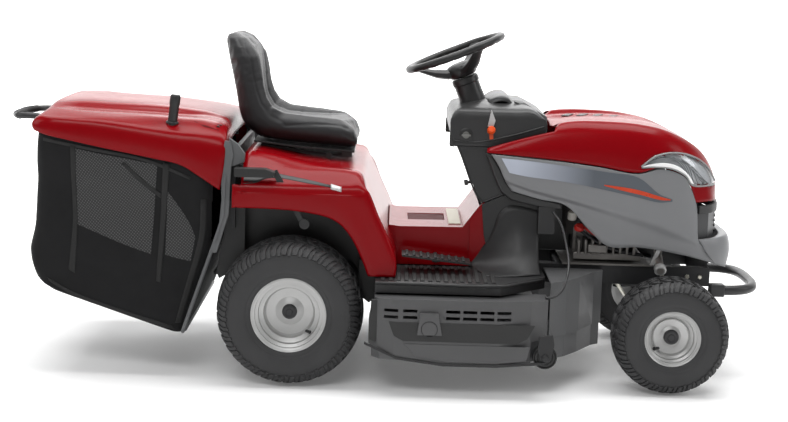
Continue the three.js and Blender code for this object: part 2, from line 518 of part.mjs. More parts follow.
// Grass collector: frame with its front plates, moulded cover and the fabric bag.
const FRAME_Y = 356;
function towHandle(radius) {
  const half = [[-1040, 130, 704], [-1070, 130, 760], [-1120, 128, 775], [-1180, 118, 775], [-1202, 70, 774]];
  const path = [...half, [-1205, 0, 774], ...half.map(([x, y, z]) => [x, -y, z]).reverse()];
  return tube(path, radius, 30, 8);
}
function collectorFrame() {
  const plates = [-1, 1].map((s) => side([[-541, 400], [-520, 400], [-506, 562], [-504, 700], [-512, 790],
    [-542, 790], [-542, 660]], s * FRAME_Y - 3, s * FRAME_Y + 3));
  const rods = [-1, 1].map((s) => bar([-530, s * FRAME_Y, 404], [-616, s * FRAME_Y, 150], 6, 10));
  const foot = bar([-616, -FRAME_Y, 150], [-616, FRAME_Y, 150], 6, 10);
  const tail = bar([-1040, -FRAME_Y, 700], [-1040, FRAME_Y, 700], 7, 10);
  const top = [-1, 1].map((s) => bar([-530, s * FRAME_Y, 690], [-1040, s * FRAME_Y, 700], 6, 10));
  const pivot = [-1, 1].map((s) => bar([COLLECTOR_PIVOT.x, s * 322.5, COLLECTOR_PIVOT.z],
    [COLLECTOR_PIVOT.x, s * FRAME_Y, COLLECTOR_PIVOT.z], 9, 12));
  return joined([...plates, ...rods, foot, tail, ...top, ...pivot, towHandle(10)]);
}
piece("collector_frame", collectorFrame(), "grey");
const LEVER = [[-664, -330, 776], [-653, -330, 874]];
function collectorCover() {
  const outline = [[-1082, 780], [-1066, 806], [-1049, 844], [-832, 838], [-705, 828], [-549, 812], [-493, 740],
    [-512, 593], [-570, 631], [-631, 666], [-722, 684], [-874, 713], [-1076, 753]];
  const section = mirrored([[COLLECTOR_HALF + SKIN, 580], [COLLECTOR_HALF + SKIN, 748], [366, 782], [300, 815],
    [200, 842], [90, 848]]);
  const outer = side(outline, -400, 400).intersect(front(section, -1100, -480));
  const hollow = side(inset(outline, SKIN), -400, 400).intersect(front(inset(section, SKIN), -1100, -480));
  const below = hollow.translate([0, 0, -14]);
  const mouth = box(-560, -480, -372, 372, 560, 796);
  const leverHole = bar([-667, -330, 750], [-650, -330, 900], 17, 16);
  return cut(outer, [hollow, below, mouth, leverHole, towHandle(12)]);
}
piece("collector_cover", collectorCover(), "red");
function grassBag() {
  const outline = [[-1061, 742], [-1061, 699], [-1069, 545], [-1082, 452], [-1098, 390], [-1083, 334],
    [-1059, 297], [-967, 243], [-628, 137], [-545, 400], [-545, 628], [-575, 648], [-635, 684], [-726, 702],
    [-880, 731]];
  const outer = side(outline, -372, 372);
  const hollow = side(inset(outline, SKIN), -368, 368);
  const above = hollow.translate([0, 0, 16]);
  const mouth = box(-560, -500, -350, 350, 420, 760);
  return cut(outer, [hollow, above, mouth, towHandle(12)]);
}
piece("grass_bag", grassBag(), "fabric");
piece("tipping_lever", bar(...LEVER, 15, 14).add(bar([-676, -330, 666], LEVER[0], 6, 10)), "black");

// Controls
function throttleLever() {
  const y = -DASH_HALF - GAP;
  const arm = side([[314, 750], [326, 750], [322, 784], [310, 782]], y - 4, y);
  const ball = new THREE.SphereGeometry(11, 12, 8).translate(316, y - 13, 782);
  return joined([arm, solidOf(ball), bar([316, y - 2, 782], [316, y - 14, 782], 6, 8)]);
}
piece("throttle_lever", throttleLever(), "orange");
function ignitionKey() {
  const y = -DASH_HALF - GAP;
  return bar([239, y, 764], [239, y - 8, 764], 11, 12).add(box(225, 253, y - 24, y - 7, 762, 766));
}
piece("ignition_key", ignitionKey(), "steel");
function parkingBrakeKnob() {
  return bar([262, -180, 612], [246, -180, 610], 5, 8).add(bar([252, -180, 611], [240, -180, 609], 9, 12));
}
piece("parking_brake_knob", parkingBrakeKnob(), "black");
function drivePedal() {
  const tread = side([[49, 396], [49, 402], [262, 380], [262, 374]], -340, -256);
  const shaft = bar([155, -TUNNEL_HALF - GAP, 380], [155, -300, 380], 8, 12);
  const web = box(143, 167, -322, -262, 378, 392);
  return joined([tread, shaft, web]);
}
piece("drive_pedal", drivePedal(), "charcoal");
function brakePedal() {
  const shaft = bar([440, 214 + GAP, 470], [440, 320, 470], 8, 12);
  const arm = side([[430, 466], [450, 474], [392, 424], [380, 436]], 262, 274);
  const pad = side([[368, 404], [376, 400], [402, 444], [394, 450]], 228, 316);
  return joined([shaft, arm, pad]);
}
piece("brake_pedal", brakePedal(), "charcoal");
function heightLever() {
  const arm = side([[-258, 492], [-240, 492], [-336, 664], [-352, 656]], -405, -399);
  const boss = bar([-250, -408, 500], [-250, -396, 500], 16, 16);
  const grip = side([[-462, 642], [-462, 668], [-369, 668], [-340, 658], [-345, 642]], -434, -398);
  return joined([arm, boss, grip]);
}
piece("height_lever", heightLever(), "black");
const DECK_CABLE = [[517, -258, 536], [539, -290, 506], [553, -340, 450], [558, -390, 402], [550, -432, 364],
  [532, -464, 328], [508, -470, 310], [484, -466, 306.6]];
piece("deck_cable", tube(DECK_CABLE, 4, 30, 8), "black");

export default group;
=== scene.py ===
import math
import bpy
import bmesh
from mathutils import Matrix, Vector, noise
from mathutils.bvhtree import BVHTree


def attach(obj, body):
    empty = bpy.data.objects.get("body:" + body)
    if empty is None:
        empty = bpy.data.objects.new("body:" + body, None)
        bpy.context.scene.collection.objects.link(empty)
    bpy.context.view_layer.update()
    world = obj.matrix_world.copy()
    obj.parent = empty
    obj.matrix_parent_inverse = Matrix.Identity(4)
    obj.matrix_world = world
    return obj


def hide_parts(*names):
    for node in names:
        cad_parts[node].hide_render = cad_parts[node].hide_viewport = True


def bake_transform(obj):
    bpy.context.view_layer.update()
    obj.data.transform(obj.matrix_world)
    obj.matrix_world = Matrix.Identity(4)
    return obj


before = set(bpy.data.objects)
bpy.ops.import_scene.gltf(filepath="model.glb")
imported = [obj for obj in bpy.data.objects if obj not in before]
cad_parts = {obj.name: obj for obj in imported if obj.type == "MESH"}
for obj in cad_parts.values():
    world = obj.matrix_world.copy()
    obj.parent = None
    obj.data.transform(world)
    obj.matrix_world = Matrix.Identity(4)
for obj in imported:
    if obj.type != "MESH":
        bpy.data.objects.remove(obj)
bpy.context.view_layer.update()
scene = bpy.context.scene

# ---------------------------------------------------------------- studio
# A seamless pale floor that the mower stands on, lit by broad soft panels from above, from the front and
# from both ends, and a camera level with the top of the bonnet on the machine's right-hand side.
STUDIO_WHITE = (0.88, 0.88, 0.88, 1)
CAMERA_PLACE = (0.015, -4.911, 1.282)
CAMERA_PITCH = math.radians(9.25)
CAMERA_ROLL = 0.0296
CAMERA_YAW = math.radians(0.07)
LENS_LENGTH = 68.94
SENSOR_WIDTH = 36
FADE_START, FADE_END = 0.9, 3.6
BACKDROP_DISTANCE = 9
FLOOR_GLOW = 0.1


def studio_sheet(name, reach, glow, upright=False):
    """A flat white sheet beside the machine, lit a little by itself so that it has no visible edge."""
    bm = bmesh.new()
    bmesh.ops.create_grid(bm, x_segments=2, y_segments=2, size=1)
    bmesh.ops.scale(bm, verts=bm.verts, vec=(*reach, 1))
    if upright:
        bmesh.ops.rotate(bm, verts=bm.verts, cent=(0, 0, 0), matrix=Matrix.Rotation(math.radians(90), 3, "X"))
        bmesh.ops.translate(bm, verts=bm.verts, vec=(0, BACKDROP_DISTANCE, reach[1] - 0.5))
    mesh = bpy.data.meshes.new(name)
    bm.to_mesh(mesh)
    bm.free()
    sheet = bpy.data.objects.new(name, mesh)
    scene.collection.objects.link(sheet)
    paper = bpy.data.materials.new(f"{name}_paper")
    paper.use_nodes = True
    shader = paper.node_tree.nodes["Principled BSDF"]
    shader.inputs["Base Color"].default_value = STUDIO_WHITE
    shader.inputs["Emission Color"].default_value = (1, 1, 1, 1)
    shader.inputs["Emission Strength"].default_value = glow
    mesh.materials.append(paper)
    return paper.node_tree, shader


def studio_floor():
    tree, shader = studio_sheet("studio_floor", (30, 30), 0)
    shader.inputs["Roughness"].default_value = 0.8
    where = tree.nodes.new("ShaderNodeTexCoord")
    split = tree.nodes.new("ShaderNodeSeparateXYZ")
    tree.links.new(where.outputs["Object"], split.inputs["Vector"])
    lit = tree.nodes.new("ShaderNodeMapRange")
    lit.inputs["From Min"].default_value = FADE_START
    lit.inputs["From Max"].default_value = FADE_END
    lit.inputs["To Min"].default_value = FLOOR_GLOW
    tree.links.new(split.outputs["Y"], lit.inputs["Value"])
    tree.links.new(lit.outputs["Result"], shader.inputs["Emission Strength"])


def soft_panel(name, place, target, size, power):
    light = bpy.data.lights.new(name, "AREA")
    light.shape = "RECTANGLE"
    light.size, light.size_y = size
    light.energy = power
    panel = bpy.data.objects.new(name, light)
    panel.location = place
    panel.rotation_euler = (Vector(target) - Vector(place)).to_track_quat("-Z", "Y").to_euler()
    scene.collection.objects.link(panel)


studio_floor()
studio_sheet("studio_backdrop", (16, 7), 1.0, upright=True)
soft_panel("overhead_panel", (0.0, 0.1, 4.0), (0, 0, 0.4), (5.2, 2.2), 210)
soft_panel("key_panel", (-1.2, -4.6, 4.6), (0, 0, 0.4), (3.6, 1.6), 120)
soft_panel("front_panel", (4.6, -1.4, 2.4), (0.4, 0, 0.6), (1.6, 2.2), 40)
soft_panel("rear_panel", (-4.6, -1.0, 2.4), (-0.6, 0, 0.6), (1.6, 2.2), 32)
soft_panel("back_panel", (0.4, 4.6, 3.4), (0, 0, 0.4), (4.0, 1.6), 60)
world = bpy.data.worlds.new("studio_air")
world.use_nodes = True
world.node_tree.nodes["Background"].inputs["Color"].default_value = (1, 1, 1, 1)
world.node_tree.nodes["Background"].inputs["Strength"].default_value = 0.24
scene.world = world
scene.view_settings.view_transform = "Standard"

forward = Vector((math.sin(CAMERA_YAW) * math.cos(CAMERA_PITCH), math.cos(CAMERA_YAW) * math.cos(CAMERA_PITCH),
                  -math.sin(CAMERA_PITCH)))
level = Vector((math.cos(CAMERA_YAW), -math.sin(CAMERA_YAW), 0))
upright = level.cross(forward)
right = math.cos(CAMERA_ROLL) * level + math.sin(CAMERA_ROLL) * upright
above = -math.sin(CAMERA_ROLL) * level + math.cos(CAMERA_ROLL) * upright
lens = bpy.data.cameras.new("camera")
lens.lens = LENS_LENGTH
lens.sensor_width = SENSOR_WIDTH
camera = bpy.data.objects.new("camera", lens)
camera.matrix_world = Matrix.Translation(CAMERA_PLACE) @ Matrix((right, above, -forward)).transposed().to_4x4()
scene.collection.objects.link(camera)
scene.camera = camera

# ---------------------------------------------------------------- chassis frame
# Two folded steel rails with cross plates, a tall rear plate and the drawbar plate, welded, then coated in
# black powder. The front axle's pivot tower and the bonnet's hinge lugs are part of the weldment.


def finish(name, colour, roughness, grain=260, depth=0.1, shade=0.12, cloud=7, metallic=0.0, coat=0.0,
           cells=False, spread=0.08, shine=0.35):
    """A surface with shade in its colour, patches in its gloss and a fine grain."""
    material = bpy.data.materials.new(name)
    material.use_nodes = True
    nodes, links = material.node_tree.nodes, material.node_tree.links
    shader = nodes["Principled BSDF"]
    shader.inputs["Metallic"].default_value = metallic
    shader.inputs["Specular IOR Level"].default_value = shine
    shader.inputs["Coat Weight"].default_value = coat
    shader.inputs["Coat Roughness"].default_value = 0.06
    place = nodes.new("ShaderNodeTexCoord")
    patches = nodes.new("ShaderNodeTexNoise")
    patches.inputs["Scale"].default_value = cloud
    patches.inputs["Detail"].default_value = 5
    links.new(place.outputs["Object"], patches.inputs["Vector"])
    tint = nodes.new("ShaderNodeMix")
    tint.data_type = "RGBA"
    tint.inputs[6].default_value = (*[c * (1 - shade) for c in colour], 1)
    tint.inputs[7].default_value = (*[min(1, c * (1 + shade)) for c in colour], 1)
    links.new(patches.outputs["Fac"], tint.inputs["Factor"])
    links.new(tint.outputs[2], shader.inputs["Base Color"])
    rub = nodes.new("ShaderNodeTexNoise")
    rub.inputs["Scale"].default_value = cloud * 5
    rub.inputs["Detail"].default_value = 3
    links.new(place.outputs["Object"], rub.inputs["Vector"])
    gloss = nodes.new("ShaderNodeMapRange")
    gloss.inputs["To Min"].default_value = max(0.02, roughness - spread)
    gloss.inputs["To Max"].default_value = min(1, roughness + spread)
    links.new(rub.outputs["Fac"], gloss.inputs["Value"])
    links.new(gloss.outputs["Result"], shader.inputs["Roughness"])
    texture = nodes.new("ShaderNodeTexVoronoi" if cells else "ShaderNodeTexNoise")
    texture.inputs["Scale"].default_value = grain
    links.new(place.outputs["Object"], texture.inputs["Vector"])
    bump = nodes.new("ShaderNodeBump")
    bump.inputs["Strength"].default_value = depth
    bump.inputs["Distance"].default_value = 0.0008
    links.new(texture.outputs["Distance" if cells else "Fac"], bump.inputs["Height"])
    links.new(bump.outputs["Normal"], shader.inputs["Normal"])
    return material


def dress(node, material, width=0.8):
    """Gives a CAD piece its finish and takes the knife edge off its corners."""
    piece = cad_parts[node]
    piece.data.materials.clear()
    piece.data.materials.append(material)
    weld = piece.modifiers.new("weld", "WELD")
    weld.merge_threshold = 0.00001
    edge = piece.modifiers.new("edge", "BEVEL")
    edge.width = width / 1000
    edge.segments = 2
    edge.limit_method = "ANGLE"
    edge.angle_limit = math.radians(40)


powder_black = finish("black_powder_coat", (0.016, 0.016, 0.017), 0.42, grain=900, depth=0.15)
dress("chassis_frame", powder_black, 1.5)


def fine(points, steps):
    """A smooth curve through points in millimetres, with so many steps from each to the next."""
    points = [Vector(p) for p in points]
    ends = [points[0] * 2 - points[1], *points, points[-1] * 2 - points[-2]]
    curve = []
    for a, b, c, d in zip(ends, ends[1:], ends[2:], ends[3:]):
        s, t, u = [max(0.01, (q - p).length) ** 0.5 for p, q in ((a, b), (b, c), (c, d))]
        leave = ((b - a) / s - (c - a) / (s + t) + (c - b) / t) * t
        arrive = ((c - b) / t - (d - b) / (t + u) + (d - c) / u) * t
        for k in range(steps):
            w = k / steps
            curve.append(b * (2 * w**3 - 3 * w**2 + 1) + leave * (w**3 - 2 * w**2 + w)
                         + c * (3 * w**2 - 2 * w**3) + arrive * (w**3 - w**2))
    return [*curve, points[-1]]


def into_scene(name, data, body, material, replaces):
    piece = bpy.data.objects.new(name, data)
    scene.collection.objects.link(piece)
    data.materials.append(material)
    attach(piece, body)
    if replaces:
        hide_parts(*replaces)
    return piece


def made(name, bm, body, material, replaces=(), wall=0, edge=0, crease=40, rounds=2):
    """Finishes a bmesh drawn in millimetres as a piece: its wall, rounded edges and shading."""
    bmesh.ops.remove_doubles(bm, verts=bm.verts, dist=0.02)
    bmesh.ops.recalc_face_normals(bm, faces=bm.faces)
    bmesh.ops.scale(bm, verts=bm.verts, vec=(0.001, 0.001, 0.001))
    mesh = bpy.data.meshes.new(name)
    bm.to_mesh(mesh)
    bm.free()
    mesh.polygons.foreach_set("use_smooth", [True] * len(mesh.polygons))
    mesh.set_sharp_from_angle(angle=math.radians(crease))
    piece = into_scene(name, mesh, body, material, replaces)
    if wall:
        thick = piece.modifiers.new("wall", "SOLIDIFY")
        thick.thickness = wall / 1000
        thick.offset = -1
        thick.use_even_offset = False
    if edge:
        rounded = piece.modifiers.new("edge", "BEVEL")
        rounded.width = edge / 1000
        rounded.segments = rounds
        rounded.limit_method = "ANGLE"
        rounded.angle_limit = math.radians(35)


def tubes(name, routes, radius, body, material, replaces=(), steps=6, sides=6):
    """Round bars or pipes, each bent along its own route of points in millimetres."""
    curve = bpy.data.curves.new(name, "CURVE")
    curve.dimensions = "3D"
    curve.bevel_depth = radius / 1000
    curve.bevel_resolution = sides
    curve.use_fill_caps = True
    for route in routes:
        points = fine(route, steps) if len(route) > 2 else [Vector(p) for p in route]
        spline = curve.splines.new("POLY")
        spline.points.add(len(points) - 1)
        for knot, point in zip(spline.points, points):
            knot.co = (*point / 1000, 1)
        spline.use_smooth = True
    return into_scene(name, curve, body, material, replaces)


def pressed(bm, outline, y0, y1, axis="y"):
    """An outline given thickness: x and z from side to side, or y and z from front to back for axis x."""
    lay = {"y": lambda a, b, c: (a, c, b), "x": lambda a, b, c: (c, a, b), "z": lambda a, b, c: (a, b, c)}[axis]
    face = bm.faces.new([bm.verts.new(lay(a, b, y0)) for a, b in outline])
    grown = bmesh.ops.extrude_face_region(bm, geom=[face])["geom"]
    shift = Vector(lay(0, 0, y1 - y0))
    bmesh.ops.translate(bm, verts=[v for v in grown if isinstance(v, bmesh.types.BMVert)], vec=shift)
    return bm


def boxed(bm, x0, x1, y0, y1, z0, z1):
    corners = bmesh.ops.create_cube(bm, size=1)["verts"]
    bmesh.ops.scale(bm, verts=corners, vec=(x1 - x0, y1 - y0, z1 - z0))
    bmesh.ops.translate(bm, verts=corners, vec=((x0 + x1) / 2, (y0 + y1) / 2, (z0 + z1) / 2))
    return corners


def spun(bm, outline, axis, at, steps=64):
    """Spins an outline of (radius, distance along the axis) round the axis through a point."""
    axis = Vector(axis).normalized()
    out = axis.orthogonal().normalized()
    ring = [bm.verts.new(Vector(at) + out * r + axis * h) for r, h in outline]
    edges = [bm.edges.new(pair) for pair in zip(ring, ring[1:])]
    bmesh.ops.spin(bm, geom=ring + edges, cent=at, axis=axis, angle=2 * math.pi, steps=steps, use_merge=True)
    return bm


bolts = bmesh.new()
for x in (-440, -380, 520, 560, 880, 960, 1000):
    for side in (-1, 1):
        spun(bolts, [(0, 0), (7.5, 0), (7.5, 4), (6, 6), (0, 6)], (0, side, 0), (x, side * 195, 330), 6)
zinc = finish("zinc_plated_bolts", (0.62, 0.6, 0.52), 0.32, grain=700, depth=0.1, metallic=1.0)
made("frame_bolts", bolts, "chassis", zinc, crease=25)

# ---------------------------------------------------------------- front bumper
# One tube of about 32 mm bent round the nose in a flat loop, coated satin black, its two arms pushed into
# square sleeves that are bolted to the ends of the rails.
satin_black = finish("satin_black_coat", (0.03, 0.03, 0.031), 0.35, grain=1200, depth=0.08)
arm = [(1034, 188, 288), (1070, 188, 288), (1112, 186, 288), (1150, 172, 289), (1178, 140, 290), (1192, 90, 291)]
loop = [(x, -y, z) for x, y, z in arm] + [(1197, 0, 291)] + arm[::-1]
tubes("bumper_tube", [loop], 16, "chassis", satin_black, ("front_bumper",), 8, 8)
sleeves = bmesh.new()
for side in (-1, 1):
    boxed(sleeves, 1034, 1082, side * 188 - 18.5, side * 188 + 18.5, 268, 308)
made("bumper_sleeves", sleeves, "chassis", satin_black, edge=5, rounds=3)

# ---------------------------------------------------------------- transaxle and front axle
# A die-cast aluminium gearbox case between the rear wheels, and a cast front beam that rocks on a centre
# pin, with forged knuckles on kingpins and a plated tie rod.
aluminium = finish("die_cast_aluminium", (0.45, 0.46, 0.47), 0.5, grain=420, depth=0.35, metallic=0.85)
cast_black = finish("black_casting", (0.02, 0.02, 0.021), 0.5, grain=350, depth=0.5)
dress("transaxle", aluminium, 3)
for node, width in (("front_axle_beam", 2), ("steering_knuckle_right", 1), ("steering_knuckle_left", 1)):
    dress(node, cast_black, width)
dress("tie_rod", zinc, 0.6)

# ---------------------------------------------------------------- wheels
# Soft turf tyres on pressed steel rims. The tyre is moulded rubber with short slanted bars round each
# shoulder and smaller ones on the crown; the rim is two pressings welded at the well, painted silver.
rubber = finish("tyre_rubber", (0.032, 0.032, 0.033), 0.6, grain=500, depth=0.25, shade=0.2, cloud=12)
silver = finish("silver_rim_paint", (0.47, 0.47, 0.465), 0.45, grain=1400, depth=0.06, metallic=0.55)
cap_black = finish("moulded_cap_black", (0.025, 0.025, 0.026), 0.45, grain=800, depth=0.1)
REAR_WHEEL = dict(x=-290, y=360, radius=226.5, half=108, rim=112, bars=38)
FRONT_WHEEL = dict(x=882, y=365, radius=180.5, half=78, rim=83, bars=32)


def tread_bar(bm, centre, carcass, start, stop, turn, slant, width, height):
    """One rubber bar across the tread, from one distance off the wheel's middle to another."""
    lanes = 3
    rows = []
    for k in range(lanes + 1):
        across = start + (stop - start) * k / lanes
        radius, rise = carcass(across)
        angle = turn + slant * k / lanes
        for level in (-1.5, height):
            for half in (-0.5, 0.5):
                narrow = width * (1 if level < 0 else 0.78) * half
                spread = angle + narrow / radius
                reach = radius + level * rise[0]
                rows.append(bm.verts.new(centre + Vector((math.cos(spread) * reach, across + level * rise[1],
                                                          math.sin(spread) * reach))))
    for k in range(lanes):
        a, b = rows[4 * k:4 * k + 4], rows[4 * k + 4:4 * k + 8]
        for p, q in ((0, 2), (2, 3), (3, 1)):
            bm.faces.new((a[p], a[q], b[q], b[p]))
    for end in (rows[:4], rows[-4:]):
        bm.faces.new((end[0], end[1], end[3], end[2]))


def wheel(tag, size, side):
    body = {"rear_right": "rear_wheel_right", "rear_left": "rear_wheel_left", "front_right": "front_wheel_right",
            "front_left": "front_wheel_left"}[tag]
    centre = Vector((size["x"], side * size["y"], size["radius"]))
    radius, half, rim = size["radius"] - 6.5, size["half"], size["rim"]
    wall = [(rim + 2, half - 22), (rim + 3, half - 13), (rim + 12, half - 6), (rim + 17, half - 5),
            (rim + 22, half - 1), (radius * 0.72, half), (radius * 0.83, half - 2), (radius * 0.90, half - 9)]
    crown = [(radius * 0.945, half * 0.80), (radius * 0.975, half * 0.60), (radius * 0.993, half * 0.34),
             (radius, 0)]
    outer = wall + crown
    outline = [(r, -h) for r, h in outer] + [(r, h) for r, h in outer[:-1]][::-1]
    smooth = [(p.x, p.z) for p in fine([(r, 0, h) for r, h in outline], 3)]
    bm = spun(bmesh.new(), smooth, (0, side, 0), centre, 96)

    def carcass(across):
        distance = abs(across)
        table = [(half - 1, radius * 0.84), (half - 9, radius * 0.90), *[(h, r) for r, h in crown]]
        for (h0, r0), (h1, r1) in zip(table, table[1:]):
            if h1 <= distance <= h0:
                share = (h0 - distance) / (h0 - h1)
                lean = Vector((h0 - h1, r1 - r0)).normalized()
                return r0 + (r1 - r0) * share, (lean.x, math.copysign(lean.y, across))
        return table[0][1], (0.3, math.copysign(0.95, across))

    step = 2 * math.pi / size["bars"]
    for k in range(size["bars"]):
        for hand in (-1, 1):
            turn = k * step + (step / 2 if hand > 0 else 0)
            tread_bar(bm, centre, carcass, hand * (half - 3), hand * half * 0.56, turn, 0.09 * hand, 15, 5)
            tread_bar(bm, centre, carcass, hand * (half - 1.5), hand * half * 0.70, turn + step * 0.5, 0.05 * hand,
                      10, 4)
            tread_bar(bm, centre, carcass, hand * half * 0.50, hand * half * 0.28, turn + step * 0.3, -0.10 * hand,
                      17, 6)
            tread_bar(bm, centre, carcass, hand * half * 0.22, hand * 2, turn, 0.10 * hand, 17, 6.4)
    made(f"{tag}_tyre_moulded", bm, body, rubber, (f"{tag}_tyre",), crease=30)

    reach = half - 14.5
    dish = half * 0.24 + 8
    scale = rim / 112
    outer_rim = [(rim + 5.5, reach - 1), (rim + 5, reach + 1), (rim + 2.5, reach + 1.8), (rim - 1, reach - 1),
                 (rim - 5 * scale, reach - 5), (rim - 8 * scale, reach - 6), (rim - 9 * scale, reach - 12),
                 (rim - 14 * scale, reach - 15), (rim - 18 * scale, reach - 17), (rim - 20 * scale, reach - 27),
                 (rim - 28 * scale, reach - 32), (rim - 33 * scale, reach - 34), (rim - 35 * scale, dish + 8),
                 (rim - 40 * scale, dish + 2), (rim - 48 * scale, dish), (44 * scale, dish - 3),
                 (34 * scale, dish + 1), (24 * scale, dish + 6), (18, dish + 7), (14, dish + 7), (12, dish + 4)]
    rear_rim = [(12, -12 if rim > 100 else 5), (60 * scale, -12), (rim - 16 * scale, -30), (rim - 12, 8 - reach),
                (rim, -reach),
                (rim + 5, -reach - 1), (rim + 5.5, -reach + 1), (rim - 1, -reach + 6), (rim - 5, -reach + 14),
                (rim - 8, 0), (rim - 5, reach - 14), (rim + 1, reach - 6), (rim + 5.5, reach - 1)]
    bm = spun(bmesh.new(), outer_rim + rear_rim, (0, side, 0), centre, 96)
    made(f"{tag}_rim_pressed", bm, body, silver, (f"{tag}_rim",), crease=28)
    cap = [(0, dish + 17), (9, dish + 17), (10, dish + 15), (14, dish + 15.5), (17, dish + 17), (21, dish + 16),
           (23, dish + 12), (23.5, dish + 5), (21, dish + 3.4), (0, dish + 3.4)]
    bm = spun(bmesh.new(), cap, (0, side, 0), centre, 48)
    made(f"{tag}_hub_cap_moulded", bm, body, cap_black, (f"{tag}_hub_cap",), crease=28)
    lean = math.radians(-42 if rim > 100 else -142)
    spot = (rim - 24 * scale)
    foot = centre + Vector((math.cos(lean) * spot, side * (reach - 34), math.sin(lean) * spot))
    inward = Vector((-math.cos(lean), side * 1.6, -math.sin(lean))).normalized()
    bm = spun(bmesh.new(), [(0, -2), (7, -2), (6.5, 3), (4.2, 6), (4, 15), (4.8, 16), (4.8, 26), (3.6, 28), (0, 28)],
              inward, foot, 20)
    made(f"{tag}_valve", bm, body, cap_black)


for side, hand in ((-1, "right"), (1, "left")):
    wheel(f"rear_{hand}", REAR_WHEEL, side)
    wheel(f"front_{hand}", FRONT_WHEEL, side)

# ---------------------------------------------------------------- engine bay
# A twin-cylinder petrol engine on the front rails: die-cast block, pressed steel blower cover over the fan,
# and a barrel muffler whose pipe turns down behind the right front wheel.
blower_black = finish("blower_cover_black", (0.03, 0.03, 0.031), 0.38, grain=900, depth=0.08)
hot_steel = finish("muffler_steel", (0.42, 0.4, 0.38), 0.42, grain=300, depth=0.2, metallic=0.9, shade=0.25)
tank_plastic = finish("fuel_tank_plastic", (0.03, 0.03, 0.03), 0.5, grain=500, depth=0.2)
engine_alloy = finish("engine_alloy", (0.2, 0.19, 0.18), 0.55, grain=350, depth=0.4, metallic=0.8, shade=0.3)
dress("engine_block", engine_alloy, 2)
dress("fuel_tank", tank_plastic, 8)
dress("battery", tank_plastic, 3)
blower = bmesh.new()
spun(blower, [(90, 666), (96, 646), (120, 643), (150, 638), (168, 628), (177, 610), (178, 560), (172, 542),
              (166, 542), (170, 606), (150, 630), (92, 638)], (0, 0, 1), (700, 0, 0), 72)
spun(blower, [(0, 660), (60, 660), (86, 656), (90, 650), (90, 644)], (0, 0, 1), (700, 0, 0), 72)
for k in range(24):
    turn = Matrix.Rotation(k * math.pi / 12, 3, "Z")
    fin = boxed(blower, 20, 84, -1.5, 1.5, 655, 666)
    for corner in fin:
        corner.co = turn @ corner.co + Vector((700, 0, 0))
made("blower_cover", blower, "chassis", blower_black, ("blower_housing",), crease=30)
muffler = spun(bmesh.new(), [(0, -124), (30, -124), (38, -120), (41, -114), (41, -60), (42.5, -58), (42.5, -54),
                             (41, -52),
                             (41, 52), (42.5, 54), (42.5, 58), (41, 60), (41, 114), (38, 120), (30, 124), (0, 124)],
               (0, 1, 0), (930, 0, 474), 48)
made("muffler_can", muffler, "chassis", hot_steel, ("muffler",), crease=30)
tubes("exhaust_pipe", [[(905, -90, 450), (880, -120, 420), (868, -170, 392), (866, -205, 378), (866, -244, 354)]], 13,
      "chassis", hot_steel)
outlet = spun(bmesh.new(), [(11, -14), (15, -14), (19, -8), (19, 6), (15, 9), (11, 9)], (0, -0.86, -0.5),
              (866, -236, 358), 32)
made("exhaust_outlet", outlet, "chassis", silver, crease=30)
red_cap = finish("red_filler_cap", (0.45, 0.02, 0.015), 0.4, grain=700, depth=0.1)
pale_cap = finish("pale_oil_cap", (0.62, 0.6, 0.55), 0.45, grain=700, depth=0.1)
fillers = spun(bmesh.new(), [(0, 0), (16, 0), (16, 8), (12, 14), (0, 14)], (0, -0.5, 0.86), (612, -168, 470), 24)
made("engine_red_cap", fillers, "chassis", red_cap, edge=1)
fillers = spun(bmesh.new(), [(0, 0), (15, 0), (15, 20), (11, 26), (0, 26)], (0, -0.4, 0.9), (590, -150, 500), 24)
made("engine_pale_cap", fillers, "chassis", pale_cap, edge=1)
tubes("engine_pipes", [[(612, -168, 470), (640, -176, 450), (690, -178, 420), (760, -180, 400), (820, -170, 390)],
                       [(600, -150, 500), (650, -165, 480), (720, -186, 460), (800, -180, 440)]], 6, "chassis",
      powder_black)
tubes("engine_fuel_line", [[(620, -160, 480), (668, -186, 452), (742, -190, 436), (830, -180, 452)]], 4, "chassis",
      red_cap)
castings = bmesh.new()
for x in range(608, 800, 22):
    boxed(castings, x, x + 9, -188, -122, 392, 438)
boxed(castings, 596, 812, -176, -118, 372, 396)
boxed(castings, 640, 700, -196, -150, 398, 424)
made("engine_side_castings", castings, "chassis", engine_alloy, edge=3)
brace = pressed(bmesh.new(), [(838, 366), (852, 366), (880, 440), (866, 440)], -204, -200)
made("engine_brace", brace, "chassis", silver, edge=1)

# ---------------------------------------------------------------- rear fender
# One injection-moulded body panel over both rear wheels, high-gloss red through its thickness. The skirt
# curls round each wheel arch, and a rolled front edge runs down to the floor.
red = finish("gloss_red_plastic", (0.2, 0.0001, 0.0025), 0.25, grain=160, depth=0.02, shade=0.05, coat=0.04,
             spread=0.04,
             shine=0.12)
charcoal = finish("charcoal_plastic", (0.02, 0.02, 0.0205), 0.45, grain=1500, depth=0.18, shade=0.1)
black_plastic = finish("grained_black_plastic", (0.018, 0.018, 0.018), 0.4, grain=1300, depth=0.16)


